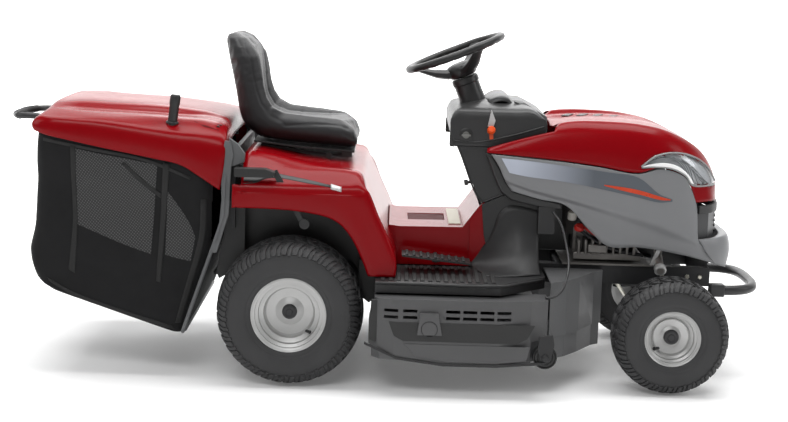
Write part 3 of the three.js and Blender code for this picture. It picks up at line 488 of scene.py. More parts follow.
def moulded(lines, along=6, across=5, left_out=lambda i, j: False, whole=True):
    """A moulded skin through matching lines of points from the right-hand edge to the middle, then mirrored."""
    if whole:
        lines = [*lines, *[[(x, -y, z) for x, y, z in line] for line in reversed(lines[:-1])]]
    drawn = [fine(line, along) for line in lines]
    ribs = [fine([line[i] for line in drawn], across) for i in range(len(drawn[0]))]
    bm = bmesh.new()
    bmesh.ops.create_grid(bm, x_segments=len(ribs) - 1, y_segments=len(ribs[0]) - 1, size=1)
    verts = sorted(bm.verts, key=lambda v: (round(v.co.x, 5), round(v.co.y, 5)))
    places = [p for rib in ribs for p in rib]
    where = {v: (k // len(ribs[0]), k % len(ribs[0])) for k, v in enumerate(verts)}
    gone = []
    for face in bm.faces:
        i = min(where[v][0] for v in face.verts) // along
        j = min(where[v][1] for v in face.verts) // across
        if left_out(i, min(j, len(lines) - 2 - j) if whole else j):
            gone.append(face)
    for v, place in zip(verts, places):
        v.co = place
    bmesh.ops.delete(bm, geom=gone, context="FACES")
    return bm


OUTLINE = [(-469, 548), (-469, 600), (-468, 650), (-443, 698), (-262, 676), (-120, 660), (-82, 651), (-60, 607),
           (-27, 535), (5, 467), (31, 394), (31, 347)]
ARCH = [(-469, 546), (-440, 546), (-400, 546), (-360, 546), (-270, 541), (-205, 531), (-170, 521), (-141, 504),
        (-115, 476), (-94, 443), (-70, 392), (-53, 347)]


def fender_line(share, y, top, drop=0):
    return [(a + (c - a) * share, y, min(b + (d - b) * share, top) - drop) for (a, b), (c, d) in zip(ARCH, OUTLINE)]


fender = moulded([
    fender_line(-0.02, -398, 600), fender_line(0.0, -414, 600), fender_line(0.12, -420, 600),
    fender_line(0.5, -422, 590), fender_line(0.93, -421, 596), fender_line(1.0, -414, 616),
    [(x, -394, z) for x, _, z in fender_line(1.0, 0, 634)], [(x, -352, z) for x, _, z in fender_line(1.0, 0, 662)],
    [(x, -300, z) for x, _, z in fender_line(1.0, 0, 694)], [(x, -206, z) for x, _, z in fender_line(1.0, 0, 699)],
    fender_line(1.0, 0, 700)],
    left_out=lambda i, j: (i < 3 and j >= 5) or (i >= 9 and j >= 9))
fender_skin = BVHTree.FromBMesh(fender)
made("fender_panel", fender, "chassis", red, ("rear_fender",), wall=3.5, crease=60)


def on_skin(skin, x, z, side, lift):
    """The point on a panel's side, straight in from the right or left at x and z, lifted off it."""
    hit = skin.ray_cast(Vector((x, side * 700, z)), Vector((0, -side, 0)))
    return Vector((x, (hit[0].y if hit[0] else side * 300) + side * lift, z))


def inlay(skin, outline, rows, lift, sides=(-1, 1)):
    """A thin piece laid on a panel: its upper and lower edges are lines of x and z with matching points."""
    bm = bmesh.new()
    for side in sides:
        top, low = [fine([(x, 0, z) for x, z in edge], 5) for edge in outline]
        previous = None
        for a, b in zip(top, low):
            rib = [on_skin(skin, *(a.lerp(b, k / rows)).xz, side, lift) for k in range(rows + 1)]
            rib = [bm.verts.new(p) for p in rib]
            if previous:
                for k in range(rows):
                    bm.faces.new((previous[k], previous[k + 1], rib[k + 1], rib[k]))
            previous = rib
    return bm


slots = inlay(fender_skin, ([(-462, 664), (-400, 660), (-372, 658), (-330, 648), (-250, 636), (-172, 622)],
                            [(-462, 618), (-400, 622), (-368, 634), (-330, 636), (-250, 626), (-172, 615)]), 5, 0.3,
              (-1,))
made("height_lever_slot", slots, "chassis", black_plastic, wall=0.6)
spot = inlay(fender_skin, ([(-172, 626), (-140, 618)], [(-172, 611), (-140, 604)]), 2, 1.6, (-1,))
made("slot_end_cap", spot, "chassis", silver, wall=1)

liners = bmesh.new()
for side in (-1, 1):
    pressed(liners, [(-474, 352), (-474, 590), (-380, 600), (-180, 590), (-60, 500), (-10, 380), (-10, 300),
                     (-60, 300), (-110, 360)],
            side * 238, side * 241)
    pressed(liners, [(-486, 560), (-440, 560), (-440, 380), (-470, 330), (-520, 300), (-528, 320)], side * 288,
            side * 292)
    pressed(liners, [(-84, 372), (-20, 372), (-20, 262), (-50, 236), (-84, 262)], side * 286, side * 290)
made("wheel_arch_liners", liners, "chassis", black_plastic, edge=1)

# ---------------------------------------------------------------- floor tunnel and footboards
# A red moulded tunnel between the driver's feet with a shallow tray, and a charcoal footboard on each side
# whose rubber ribs give grip. The boards' rolled outer lip hides the deck's hangers.
dress("floor_tunnel", red, 8)
dress("footboard_right", charcoal, 5)
dress("footboard_left", charcoal, 5)
mat_rubber = finish("ribbed_mat_rubber", (0.016, 0.016, 0.016), 0.7, grain=900, depth=0.3)
beige = finish("tray_label_plastic", (0.55, 0.52, 0.42), 0.5, grain=900, depth=0.1)
mats = bmesh.new()
for side in (-1, 1):
    for k in range(15):
        x = -14 + 24 * k
        boxed(mats, x, x + 13, side * 335 - 118, side * 335 + (118 if k < 14 else 60), 341, 346.6)
made("footboard_mats", mats, "chassis", mat_rubber, edge=2)
LIP = [(-30, 467, 338), (100, 469, 338), (347, 468, 338), (420, 402, 337), (486, 340, 336)]
lips = [[(x, side * y, z) for x, y, z in LIP] for side in (-1, 1)]
tubes("footboard_lips", lips, 5, "chassis", charcoal, sides=4)
# A darker red sheet laid in the shallow tray is painted shade, for the shade on the tray's floor.
tray = bmesh.new()
boxed(tray, 68, 184, -68, 58, 465.5, 467.5)
dark_red = finish("shaded_red_plastic", (0.07, 0.0005, 0.002), 0.55, grain=300, depth=0.05, shine=0.05)
made("tray_floor_shade", tray, "chassis", dark_red, edge=1)
tray = bmesh.new()
boxed(tray, 196, 236, -150, 150, 469, 473)
made("tunnel_ledge", tray, "chassis", beige, edge=2)

# ---------------------------------------------------------------- dash and steering column
# The dash is a charcoal moulding that wraps the steering column, with a low raised cap on top and a front
# that runs down under the bonnet. A leg shield closes it below, and a smooth cover closes round the column.
dash_grey = finish("dash_charcoal_plastic", (0.026, 0.026, 0.0265), 0.36, grain=1500, depth=0.12, shade=0.1)
dress("dash_console", dash_grey, 7)
dress("leg_shield", charcoal, 5)
DASH_TOP = [(203, 730), (190, 780), (192, 816), (206, 840), (240, 850), (300, 864), (345, 873), (398, 869),
            (448, 850), (486, 818), (493, 796), (478, 752)]


def dash_line(y, top, share=1.0):
    """The dash's outline held under a height, or brought down towards its lower edge."""
    return [(x, y, 726 + (min(z, top) - 726) * share) for x, z in DASH_TOP]


dash = moulded([dash_line(-206.5, 790, 0.02), dash_line(-207, 790, 0.5), dash_line(-206.5, 800), dash_line(-205, 822),
                dash_line(-200, 836), dash_line(-188, 845), dash_line(-160, 853), dash_line(-104, 864),
                dash_line(-50, 875),
                dash_line(0, 880)], 4, 4)
made("dash_shell", dash, "chassis", dash_grey, wall=2, crease=50)
COWL = [(292, 846), (308, 862), (326, 875), (348, 882), (368, 880), (384, 866), (392, 850)]
cowl = moulded([[(x, y, z + rise) for x, z in COWL] for y, rise in
                ((-132, -16), (-126, -4), (-112, 1), (-84, 4), (-40, 5), (0, 5))], 4, 4)
made("dash_pod", cowl, "chassis", dash_grey, wall=2.5, crease=50)
HUMP = ((392, 873, 0.00055), (430, 860, 0.00055), (472, 832, 0.0005))
lines = [[(x, side * y, z - fall * y * y) for x, z, fall in HUMP] for side in (-1, 1) for y in (120, 132)]
tubes("dash_hump_lines", lines, 1.6, "chassis", black_plastic, sides=3)
EDGE_STRIP = [(396, 207, 640), (372, 207, 588), (330, 207, 566), (296, 207, 556), (216, 207, 726)]
SHELF = [(202, 208, 745), (270, 208, 742), (380, 208, 765), (482, 208, 796)]
beads = [[(x, side * y, z) for x, y, z in line] for line in (EDGE_STRIP, SHELF) for side in (-1, 1)]
tubes("dash_edge_beads", beads, 3, "chassis", dash_grey, sides=3)

flank = bmesh.new()
for side in (-1, 1):
    pressed(flank, [(262, 372), (262, 496), (296, 548), (305, 552), (322, 512), (340, 470), (340, 446), (306, 397),
                    (276, 353)],
            side * 207, side * 209.5)
made("tunnel_flank_panels", flank, "chassis", red, edge=0.6)
relays = bmesh.new()
boxed(relays, 484, 596, -66, 66, 380, 520)
boxed(relays, 488, 592, -62, 62, 520, 532)
made("relay_box", relays, "chassis", black_plastic, edge=4)

# The leg shield spreads at its foot into a hollow toe board, drawn here outward from its top edge.
TOE_BOARD = [
    [(262, 206, 352), (290, 207, 392), (318, 213, 430), (336, 215, 470), (352, 216, 520), (380, 216, 545),
     (440, 216, 540), (478, 216, 530)],
    [(268, 220, 349), (300, 224, 366), (330, 230, 392), (356, 232, 424), (384, 233, 452), (410, 233, 470),
     (444, 232, 470), (478, 230, 462)],
    [(280, 250, 347), (312, 256, 354), (346, 262, 368), (380, 266, 386), (404, 268, 398), (424, 268, 404),
     (450, 264, 404), (478, 258, 400)],
    [(296, 300, 346), (330, 308, 348), (366, 314, 353), (396, 316, 358), (416, 316, 361), (434, 314, 362),
     (456, 306, 362), (480, 296, 360)],
    [(310, 346, 345), (344, 352, 345), (380, 352, 346), (404, 348, 346), (422, 342, 346), (440, 334, 346),
     (460, 324, 346), (484, 310, 345)]]
for side, hand in ((-1, "right"), (1, "left")):
    rim = pressed(bmesh.new(), [(302, 712), (326, 702), (352, 662), (370, 624), (392, 598), (470, 577), (545, 562),
                                (548, 540),
                                (505, 540), (440, 552), (384, 566), (352, 592), (330, 640)], side * 208, side * 238)
    made(f"console_rim_{hand}", rim, "chassis", dash_grey, edge=7, rounds=3)
    toe = moulded([[(x, side * y, z) for x, y, z in line] for line in TOE_BOARD], 4, 4, whole=False)
    made(f"toe_board_{hand}", toe, "chassis", charcoal, wall=2.5, crease=50)

TILT = math.radians(21.8)
HUB = Vector((205, 0, 1008.5))
SHAFT = Matrix.Rotation(-TILT, 3, "Y") @ Vector((0, 0, -1))
boot = [(13, 84), (40, 84), (44, 89), (44, 104), (41, 108), (41, 120), (41, 124), (41, 144), (42, 148), (42, 168),
        (45, 176), (52, 181), (54, 186), (13, 186)]
boot = spun(bmesh.new(), boot, SHAFT, HUB, 48)
made("column_boot", boot, "chassis", dash_grey, ("steering_column_cover",), crease=25)

# ---------------------------------------------------------------- steering wheel
# A soft black moulding over a steel hoop, three deep spokes dished down to a hub, with finger swells under
# the rim. It is keyed to the top of the column.
wheel_black = finish("steering_wheel_black", (0.014, 0.014, 0.014), 0.38, grain=1100, depth=0.22)
AHEAD = SHAFT.cross(Vector((0, 1, 0)))
hoop = bmesh.new()
RIM_SPLIT, RIM_SIDES = 120, 14
for k in range(RIM_SPLIT):
    turn = 2 * math.pi * k / RIM_SPLIT
    spoke = max(0, math.cos(3 * turn)) ** 6
    swell = 0.7 * math.cos(24 * turn)
    for s in range(RIM_SIDES):
        angle = 2 * math.pi * s / RIM_SIDES
        thick = 13.2 + 1.2 * spoke + (swell if math.sin(angle) > 0 else 0)
        out = 156 + thick * math.cos(angle)
        hoop.verts.new(HUB + (AHEAD * -math.cos(turn) + Vector((0, 1, 0)) * math.sin(turn)) * out
                       + SHAFT * (thick * 0.92 * math.sin(angle)))
hoop.verts.ensure_lookup_table()
for k in range(RIM_SPLIT):
    for s in range(RIM_SIDES):
        a, b = k * RIM_SIDES, (k + 1) % RIM_SPLIT * RIM_SIDES
        t = (s + 1) % RIM_SIDES
        hoop.faces.new([hoop.verts[i] for i in (a + s, a + t, b + t, b + s)])
made("steering_rim", hoop, "steering", wheel_black, crease=60)
hub = spun(bmesh.new(), [(0, 34), (22, 34), (40, 39), (47, 47), (49, 58), (47, 72), (42, 79), (36, 81), (0, 81)],
           SHAFT, HUB, 48)
for k in range(3):
    turn = 2 * math.pi * k / 3
    out = AHEAD * -math.cos(turn) + Vector((0, 1, 0)) * math.sin(turn)
    across = out.cross(SHAFT)
    previous = None
    for reach, drop, half, deep in ((22, 62, 30, 17), (50, 60, 27, 18), (84, 45, 22, 16), (116, 24, 19, 11),
                                    (138, 8, 20, 8), (154, 0, 26, 6)):
        middle = HUB + out * reach + SHAFT * drop
        rib = [hub.verts.new(middle + across * half * a + SHAFT * deep * b)
               for a, b in ((-1, -0.4), (-0.6, -1), (0.6, -1), (1, -0.4), (1, 0.5), (0, 0.9), (-1, 0.5))]
        if previous:
            for s in range(7):
                hub.faces.new((previous[s], previous[(s + 1) % 7], rib[(s + 1) % 7], rib[s]))
        previous = rib
made("steering_hub", hub, "steering", wheel_black, ("steering_wheel",), crease=45, edge=1.5)
column = [HUB + SHAFT * 60, HUB + SHAFT * 640]
tubes("steering_shaft", [column], 9, "steering", zinc)

# ---------------------------------------------------------------- seat
# A one-piece foam moulding under stretched black vinyl, with raised side bolsters, a piped seam where the
# side panel meets the top, and gathers in the waist of the back. It is screwed to a steel pan.
vinyl = finish("black_seat_vinyl", (0.014, 0.014, 0.015), 0.42, grain=650, depth=0.35, shade=0.15, cells=True,
               cloud=5)
steel_black = finish("black_painted_steel", (0.02, 0.02, 0.02), 0.4, grain=900, depth=0.1)
dress("seat_pan", steel_black, 1)
dress("seat_slider", steel_black, 1)
# Back, bolster and middle points down the back and along the seat, and the half width at each.
SEAT = [((-522, 1058), (-480, 1062), (-486, 1058), 104), ((-527, 1046), (-446, 1046), (-458, 1046), 142),
        ((-521, 1020), (-424, 1016), (-440, 1018), 164), ((-513, 985), (-407, 985), (-434, 985), 178),
        ((-500, 930), (-398, 935), (-430, 935), 186), ((-489, 880), (-392, 893), (-428, 890), 190),
        ((-479, 822), (-382, 860), (-420, 845), 193), ((-464, 764), (-362, 836), (-396, 802), 195),
        ((-420, 734), (-325, 818), (-345, 782), 196), ((-340, 724), (-270, 813), (-270, 777), 196),
        ((-240, 716), (-200, 807), (-200, 779), 194), ((-160, 710), (-145, 800), (-150, 782), 190),
        ((-112, 707), (-112, 782), (-114, 774), 180), ((-100, 710), (-98, 745), (-100, 742), 160)]
SEAT_SIDES = 28


def seat_block():
    bm = bmesh.new()
    loops = []
    for back, bolster, middle, half in SEAT:
        back, bolster, middle = [Vector((x, 0, z)) for x, z in (back, bolster, middle)]
        loop = []
        for k in range(SEAT_SIDES):
            turn = 2 * math.pi * k / SEAT_SIDES
            c, s = math.cos(turn), math.sin(turn)
            y = math.copysign(abs(c) ** 0.62, c)
            rise = 0.5 + 0.5 * math.copysign(abs(s) ** 0.7, s)
            face = middle.lerp(bolster, min(1, max(0, (abs(y) - 0.42) / 0.4)) ** 1.5)
            point = back.lerp(face, rise)
            loop.append(bm.verts.new((point.x, y * (half - 5), point.z)))
        loops.append(loop)
    for a, b in zip(loops, loops[1:]):
        pairs = [(loop[k], loop[(k + 1) % SEAT_SIDES]) for loop in (a, b) for k in range(SEAT_SIDES)]
        edges = [bm.edges.get(pair) or bm.edges.new(pair) for pair in pairs]
        bmesh.ops.bridge_loops(bm, edges=edges)
    for loop in (loops[0], loops[-1]):
        bm.faces.new(loop)
    bmesh.ops.recalc_face_normals(bm, faces=bm.faces)
    bmesh.ops.scale(bm, verts=bm.verts, vec=(0.001, 0.001, 0.001))
    return bm


def swollen(name, bm, voxel, pressure, cap, frames=20):
    """A padded shape blown up a little by cloth pressure, no point moving further than the cap."""
    mesh = bpy.data.meshes.new(name)
    bm.to_mesh(mesh)
    bm.free()
    pad = bpy.data.objects.new(name, mesh)
    scene.collection.objects.link(pad)
    bpy.context.view_layer.objects.active = pad
    remesh = pad.modifiers.new("even", "REMESH")
    remesh.mode = "VOXEL"
    remesh.voxel_size = voxel
    graph = bpy.context.evaluated_depsgraph_get()
    even = bpy.data.meshes.new_from_object(pad.evaluated_get(graph))
    pad.modifiers.clear()
    pad.data = even
    start = [v.co.copy() for v in even.vertices]
    cloth = pad.modifiers.new("cover", "CLOTH")
    cloth.settings.use_pressure = True
    cloth.settings.uniform_pressure_force = pressure
    cloth.settings.effector_weights.gravity = 0
    cloth.settings.quality = 5
    cloth.settings.tension_stiffness = 20
    cloth.settings.bending_stiffness = 2
    cloth.point_cache.frame_start = 1
    cloth.point_cache.frame_end = frames
    for k in range(1, frames + 1):
        scene.frame_set(k)
    graph = bpy.context.evaluated_depsgraph_get()
    blown = [v.co.copy() for v in pad.evaluated_get(graph).data.vertices]
    pad.modifiers.clear()
    scene.frame_set(1)
    for v, a, b in zip(even.vertices, start, blown):
        move = b - a
        v.co = a + move * min(1, cap / max(move.length, 1e-9))
    return pad


cushion = swollen("seat_cushion_padded", seat_block(), 0.005, 4, 0.007)
cushion_mesh = cushion.data
bm = bmesh.new()
bm.from_mesh(cushion_mesh)
for _ in range(3):
    bmesh.ops.smooth_vert(bm, verts=bm.verts, factor=0.5, use_axis_x=True, use_axis_y=True, use_axis_z=True)
bm.to_mesh(cushion_mesh)
bm.free()


def seat_share(point):
    """How far along the seat's line a point lies, counted in its stations."""
    best = (1e9, 0)
    for k, (near, far) in enumerate(zip(SEAT, SEAT[1:])):
        for low, high in ((Vector(near[0]), Vector(far[0])), (Vector(near[1]), Vector(far[1]))):
            line = high - low
            share = max(0, min(1, (point - low).dot(line) / max(1e-6, line.length_squared)))
            gap = (low + line * share - point).length
            if gap < best[0]:
                best = (gap, k + share)
    return best[1]


# The side seam runs down the bolster, a third of the way in from the face, and round the front corner.
for v in cushion_mesh.vertices:
    x, y, z = v.co * 1000
    station = seat_share(Vector((x, z)))
    low = int(min(station, len(SEAT) - 2))
    share = station - low
    back = Vector(SEAT[low][0]).lerp(Vector(SEAT[low + 1][0]), share)
    face = Vector(SEAT[low][1]).lerp(Vector(SEAT[low + 1][1]), share)
    depth = (Vector((x, z)) - back).dot((face - back).normalized()) / (face - back).length
    half = SEAT[low][3] + (SEAT[low + 1][3] - SEAT[low][3]) * share
    out = abs(y) / half
    push = 0.0
    if out > 0.8:
        seam = 0.74 - 0.1 * max(0, 1 - abs(station - 4) / 3)
        push += 2.6 * math.exp(-((depth - seam) / 0.035) ** 2)
        waist = max(0, 1 - abs(station - 4.4) / 1.6)
        push += waist * 1.9 * max(0, math.sin(station * 9.5 + depth * 3.5)) ** 2 * (depth > 0.4)
    elif out < 0.62 and depth > 0.6:
        push += 2.4 * math.exp(-((out - 0.56) / 0.03) ** 2)
        push += 1.6 * max(0, math.cos(station * math.pi * 1.4)) ** 14 if station > 1.6 else 0
    v.co -= v.normal * push / 1000
cushion_mesh.polygons.foreach_set("use_smooth", [True] * len(cushion_mesh.polygons))
cushion_mesh.materials.append(vinyl)
round_off = cushion.modifiers.new("soft", "SUBSURF")
round_off.levels = round_off.render_levels = 1
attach(cushion, "seat")
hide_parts("seat_cushion")

# ---------------------------------------------------------------- bonnet top
# The painted-look red shell of the bonnet, one moulding from the two points beside the dash to the nose. It
# has a sunk channel between two ridges, with air louvres, and openings for the lamps.
HOOD = [
    [(305, -251, 715), (410, -255, 708), (512, -256.5, 700), (575, -257, 694), (658, -257, 684), (777, -257, 667),
     (846, -252, 684), (920, -241, 662), (950, -232, 622), (968, -225, 574)],
    [(305, -250, 720), (410, -254, 730), (512, -254, 740), (575, -254, 744), (658, -254, 742), (777, -252, 732),
     (862, -243, 728), (950, -220, 700), (1003, -192, 640), (1026, -178, 574)],
    [(306, -238, 728), (410, -240, 760), (512, -238, 786), (575, -236, 794), (658, -236, 795), (784, -231, 788),
     (880, -217, 768), (975, -183, 716), (1034, -150, 640), (1048, -132, 572)],
    [(308, -225, 730), (410, -220, 768), (524, -212, 806), (575, -208, 816), (658, -205, 818), (784, -201, 811),
     (885, -188, 787), (990, -150, 725), (1044, -116, 640), (1055, -100, 572)],
    [(309, -215, 731), (410, -205, 770), (536, -190, 811), (580, -188, 816), (658, -186, 819), (784, -181, 812),
     (885, -168, 788), (992, -128, 726), (1048, -94, 640), (1059, -78, 572)],
    [(310, -200, 732), (410, -190, 771), (514, -162, 796), (580, -162, 804), (658, -160, 808), (784, -152, 804),
     (885, -136, 784), (992, -98, 726), (1051, -66, 640), (1061, -54, 571)],
    [(310, 0, 732), (410, 0, 771), (514, 0, 798), (580, 0, 806), (658, 0, 811), (784, 0, 807), (885, 0, 788),
     (994, 0, 728), (1053, 0, 641), (1063, 0, 570)]]
LAMP_TOP = [(786, 686), (829, 719), (885, 730), (945, 720), (1000, 689), (1042, 634)]
LAMP_LOW = [(786, 684), (830, 686), (884, 681), (928, 659), (952, 630), (1036, 624)]
bonnet = moulded(HOOD, 7, 6, left_out=lambda i, j: i < 2 and j >= 2)
bonnet_skin = BVHTree.FromBMesh(bonnet)


def inside(x, z, outline):
    hits = False
    for (a, b), (c, d) in zip(outline, outline[1:] + outline[:1]):
        if (b > z) != (d > z) and x < a + (c - a) * (z - b) / (d - b):
            hits = not hits
    return hits


lamp_hole = LAMP_TOP + LAMP_LOW[::-1]
middles = {f: f.calc_center_median() for f in bonnet.faces}
gone = [f for f, at in middles.items() if abs(at.y) > 104 and inside(at.x, at.z, lamp_hole)]
bmesh.ops.delete(bonnet, geom=gone, context="FACES")
made("bonnet_shell", bonnet, "hood", red, ("hood_top",), wall=3, crease=55)
LOUVRE_SLANT = 0.35
louvres = bmesh.new()
for side in (-1, 1):
    for x in (590, 640, 690, 740):
        corners = boxed(louvres, -12, 12, -36, 36, -1.5, 2.5)
        for corner in corners:
            corner.co = Vector((x + corner.co.x + LOUVRE_SLANT * corner.co.y, side * 118 + corner.co.y, corner.co.z
                                + 806.5 - 0.0004 * (x - 660) ** 2))
made("bonnet_louvres", louvres, "hood", black_plastic, edge=1)

# ---------------------------------------------------------------- bonnet sides, chin and grille
# The grey lower half of the bonnet, moulded in one with the chin and clipped up into the red shell. A broad
# crease sweeps down to the chin, above a hollow lower panel. Film graphics lie along its upper half.
side_grey = finish("grey_moulded_plastic", (0.18, 0.183, 0.189), 0.34, grain=1800, depth=0.1, shade=0.06, cloud=4)
SIDES = [
    [(318, -252, 711), (420, -256, 703), (533, -257.5, 694), (658, -258, 680), (777, -258, 663), (850, -252, 680),
     (924, -241, 656), (950, -232, 616), (970, -226, 568)],
    [(330, -255, 694), (420, -258, 686), (533, -260, 676), (658, -260, 660), (777, -260, 646), (850, -256, 656),
     (922, -245, 636), (952, -234, 600), (973, -226, 550)],
    [(346, -256, 668), (430, -258, 650), (533, -260, 640), (658, -261, 622), (777, -261, 604), (850, -259, 598),
     (920, -250, 580), (956, -238, 554), (976, -227, 520)],
    [(356, -256, 646), (438, -258, 620), (536, -260, 600), (640, -261, 578), (760, -261, 552), (846, -260, 530),
     (916, -251, 506), (960, -238, 486), (979, -228, 474)],
    [(364, -256, 630), (444, -259, 606), (538, -261, 584), (636, -262, 560), (750, -262, 532), (842, -260, 506),
     (914, -251, 478), (964, -239, 458), (984, -229, 450)],
    [(368, -250, 622), (450, -250, 594), (540, -250, 572), (636, -250, 543), (740, -251, 508), (836, -249, 480),
     (914, -243, 454), (972, -232, 436), (1000, -224, 432)],
    [(387, -247, 596), (475, -248, 573), (557, -248, 556), (636, -248, 478), (696, -248, 430), (796, -246, 429),
     (914, -240, 411), (990, -226, 393), (1046, -204, 375)]]
sides = moulded(SIDES, 7, 5, whole=False)
mirror = sides.copy()
for v in mirror.verts:
    v.co.y = -v.co.y
bmesh.ops.reverse_faces(mirror, faces=mirror.faces)
spare = bpy.data.meshes.new("spare")
mirror.to_mesh(spare)
mirror.free()
sides.from_mesh(spare)
bpy.data.meshes.remove(spare)
side_skin = BVHTree.FromBMesh(sides)
made("bonnet_sides", sides, "hood", side_grey, ("hood_sides",), wall=3.5, crease=50)
CHIN = [
    [(984, -206, 452), (1030, -180, 455), (1058, -140, 458), (1074, -75, 460), (1078, 0, 460)],
    [(980, -226, 456), (1040, -199, 458), (1083, -152, 461), (1099, -80, 460), (1102, 0, 459)],
    [(990, -229, 446), (1046, -203, 446), (1091, -153, 446), (1107, -80, 444), (1110, 0, 443)],
    [(1012, -224, 412), (1052, -204, 410), (1096, -153, 406), (1110, -80, 404), (1113, 0, 403)],
    [(1046, -204, 374), (1068, -186, 366), (1090, -150, 357), (1097, -80, 354), (1100, 0, 354)]]
chin = [[line[k] for line in CHIN] for k in range(5)]
chin = moulded(chin, 5, 6)
made("bonnet_chin", chin, "hood", side_grey, wall=3.5, crease=50)
grille_grey = finish("grille_grey_plastic", (0.06, 0.061, 0.063), 0.4, grain=1500, depth=0.12)
dress("grille", grille_grey, 3)
bars = bmesh.new()
for z in (466, 482, 498, 514, 530):
    for side in (-1, 1):
        pressed(bars, [(1050, side * 118), (1062, side * 52), (1063, side * 2), (1067, side * 2), (1066, side * 52),
                       (1054, side * 121)][::side], z, z + 7, "z")
for side in (-1, 1):
    pressed(bars, [(976, side * 212), (1018, side * 178), (1046, side * 122), (1060, side * 52), (1062, 0), (1070, 0),
                   (1068, side * 54), (1056, side * 126), (1026, side * 186), (981, side * 222)][::side], 536, 562,
            "z")
made("grille_bars", bars, "hood", charcoal, edge=1.5)
silver_film = finish("silver_to_slate_film", (0.2, 0.22, 0.26), 0.4, grain=90, depth=0.0, shade=0.0, spread=0.0)
nodes, links = silver_film.node_tree.nodes, silver_film.node_tree.links
split = nodes.new("ShaderNodeSeparateXYZ")
links.new(nodes["Texture Coordinate"].outputs["Object"], split.inputs["Vector"])
fade = nodes.new("ShaderNodeMapRange")
fade.inputs["From Min"].default_value = 0.40
fade.inputs["From Max"].default_value = 0.64
links.new(split.outputs["X"], fade.inputs["Value"])
blend_tone = nodes.new("ShaderNodeMix")
blend_tone.data_type = "RGBA"
blend_tone.inputs[6].default_value = (0.4, 0.43, 0.5, 1)
blend_tone.inputs[7].default_value = (0.085, 0.095, 0.11, 1)
links.new(fade.outputs["Result"], blend_tone.inputs["Factor"])
links.new(blend_tone.outputs[2], nodes["Principled BSDF"].inputs["Base Color"])
ember = finish("orange_red_film", (0.5, 0.045, 0.012), 0.3, grain=1500, depth=0.03, shade=0.2, cloud=30)
film = inlay(side_skin, ([(350, 700), (420, 695), (500, 687), (590, 677), (690, 665), (778, 652), (846, 602),
                          (888, 586)],
                         [(376, 655), (430, 645), (500, 638), (590, 626), (673, 611), (770, 592), (846, 576),
                          (888, 579)]), 6, 1.3)
made("side_film", film, "hood", silver_film)
film = inlay(side_skin, ([(672, 627), (730, 621), (785, 612), (850, 594), (882, 586)],
                         [(672, 624), (730, 610), (785, 599), (850, 584), (882, 583)]), 3, 2.1)
made("ember_film", film, "hood", ember)

# ---------------------------------------------------------------- headlamps
# Clear polycarbonate lenses moulded with curved fluting, over a bright reflector and a white lower band.
# Each is screwed in from behind and follows the bonnet's surface. The fluting itself is clear; the grey
# lines drawn for it behind each lens are painted shade.
clear = bpy.data.materials.new("clear_polycarbonate")
clear.use_nodes = True
shader = clear.node_tree.nodes["Principled BSDF"]
shader.inputs["Base Color"].default_value = (0.9, 0.92, 0.94, 1)
shader.inputs["Roughness"].default_value = 0.06
shader.inputs["Transmission Weight"].default_value = 1.0
shader.inputs["IOR"].default_value = 1.2
shader.inputs["Coat Weight"].default_value = 0.5
nodes, links = clear.node_tree.nodes, clear.node_tree.links
speckle = nodes.new("ShaderNodeTexNoise")
speckle.inputs["Scale"].default_value = 40
where = nodes.new("ShaderNodeTexCoord")
links.new(where.outputs["Object"], speckle.inputs["Vector"])
ripple = nodes.new("ShaderNodeBump")
ripple.inputs["Strength"].default_value = 0.06
ripple.inputs["Distance"].default_value = 0.002
links.new(speckle.outputs["Fac"], ripple.inputs["Height"])
links.new(ripple.outputs["Normal"], shader.inputs["Normal"])
bright = finish("bright_reflector", (0.72, 0.72, 0.72), 0.4, grain=300, depth=0.1, metallic=0.3)
# One grey finish for the lens seals, which are real parts, and for the painted shade lines of the fluting.
seal_grey_and_flute_shade = finish("lamp_seal_grey_and_flute_shade", (0.24, 0.24, 0.24), 0.35, grain=500, depth=0.1)
white = finish("white_lamp_band", (0.85, 0.85, 0.85), 0.3, grain=700, depth=0.05)
for side, hand in ((-1, "right"), (1, "left")):
    lens_sheet = inlay(bonnet_skin, (LAMP_TOP, LAMP_LOW), 12, 2.4, (side,))
    made(f"headlamp_{hand}_lens", lens_sheet, "hood", clear, (f"headlamp_{hand}",), wall=2)
    bowl = inlay(bonnet_skin, (LAMP_TOP, LAMP_LOW), 8, -14, (side,))
    made(f"headlamp_{hand}_bowl", bowl, "hood", bright, wall=1)
    band = inlay(bonnet_skin, ([(790, 688), (822, 696), (862, 699), (900, 690), (936, 664), (958, 634)],
                               [(790, 686), (830, 687), (866, 685), (896, 678), (928, 657), (950, 631)]), 3, 3.2,
                 (side,))
    made(f"headlamp_{hand}_band", band, "hood", white, wall=0.6)
    edges = []
    for line in (LAMP_TOP, LAMP_LOW):
        points = fine([(x, 0, z) for x, z in line], 5)
        edges.append([tuple(on_skin(bonnet_skin, p.x, p.z, side, 1.2)) for p in points])
    tubes(f"headlamp_{hand}_seal", edges, 3, "hood", seal_grey_and_flute_shade, sides=3)
    # Grey lines just behind each lens are painted shade: they mark the fluting, which itself is clear.
    flute_shade_lines = []
    for k in range(10):
        start, reach = 0.06 + 0.05 * k, 0.5 + 0.045 * k
        flute = []
        for w in (0.0, 0.33, 0.66, 1.0):
            share = min(0.97, start + (reach - start + 0.18) * w)
            top, low = fine([(x, 0, z) for x, z in LAMP_TOP], 8), fine([(x, 0, z) for x, z in LAMP_LOW], 8)
            at = share * (len(top) - 1)
            a, b = top[int(at)], low[int(at)]
            point = b.lerp(a, 0.1 + 0.8 * (1 - w) ** 0.6 * (1 - 0.03 * k))
            flute.append(tuple(on_skin(bonnet_skin, point.x, point.z, side, -3)))
        flute_shade_lines.append(flute)
    tubes(f"headlamp_{hand}_flutes", flute_shade_lines, 1.1, "hood", seal_grey_and_flute_shade, sides=2)

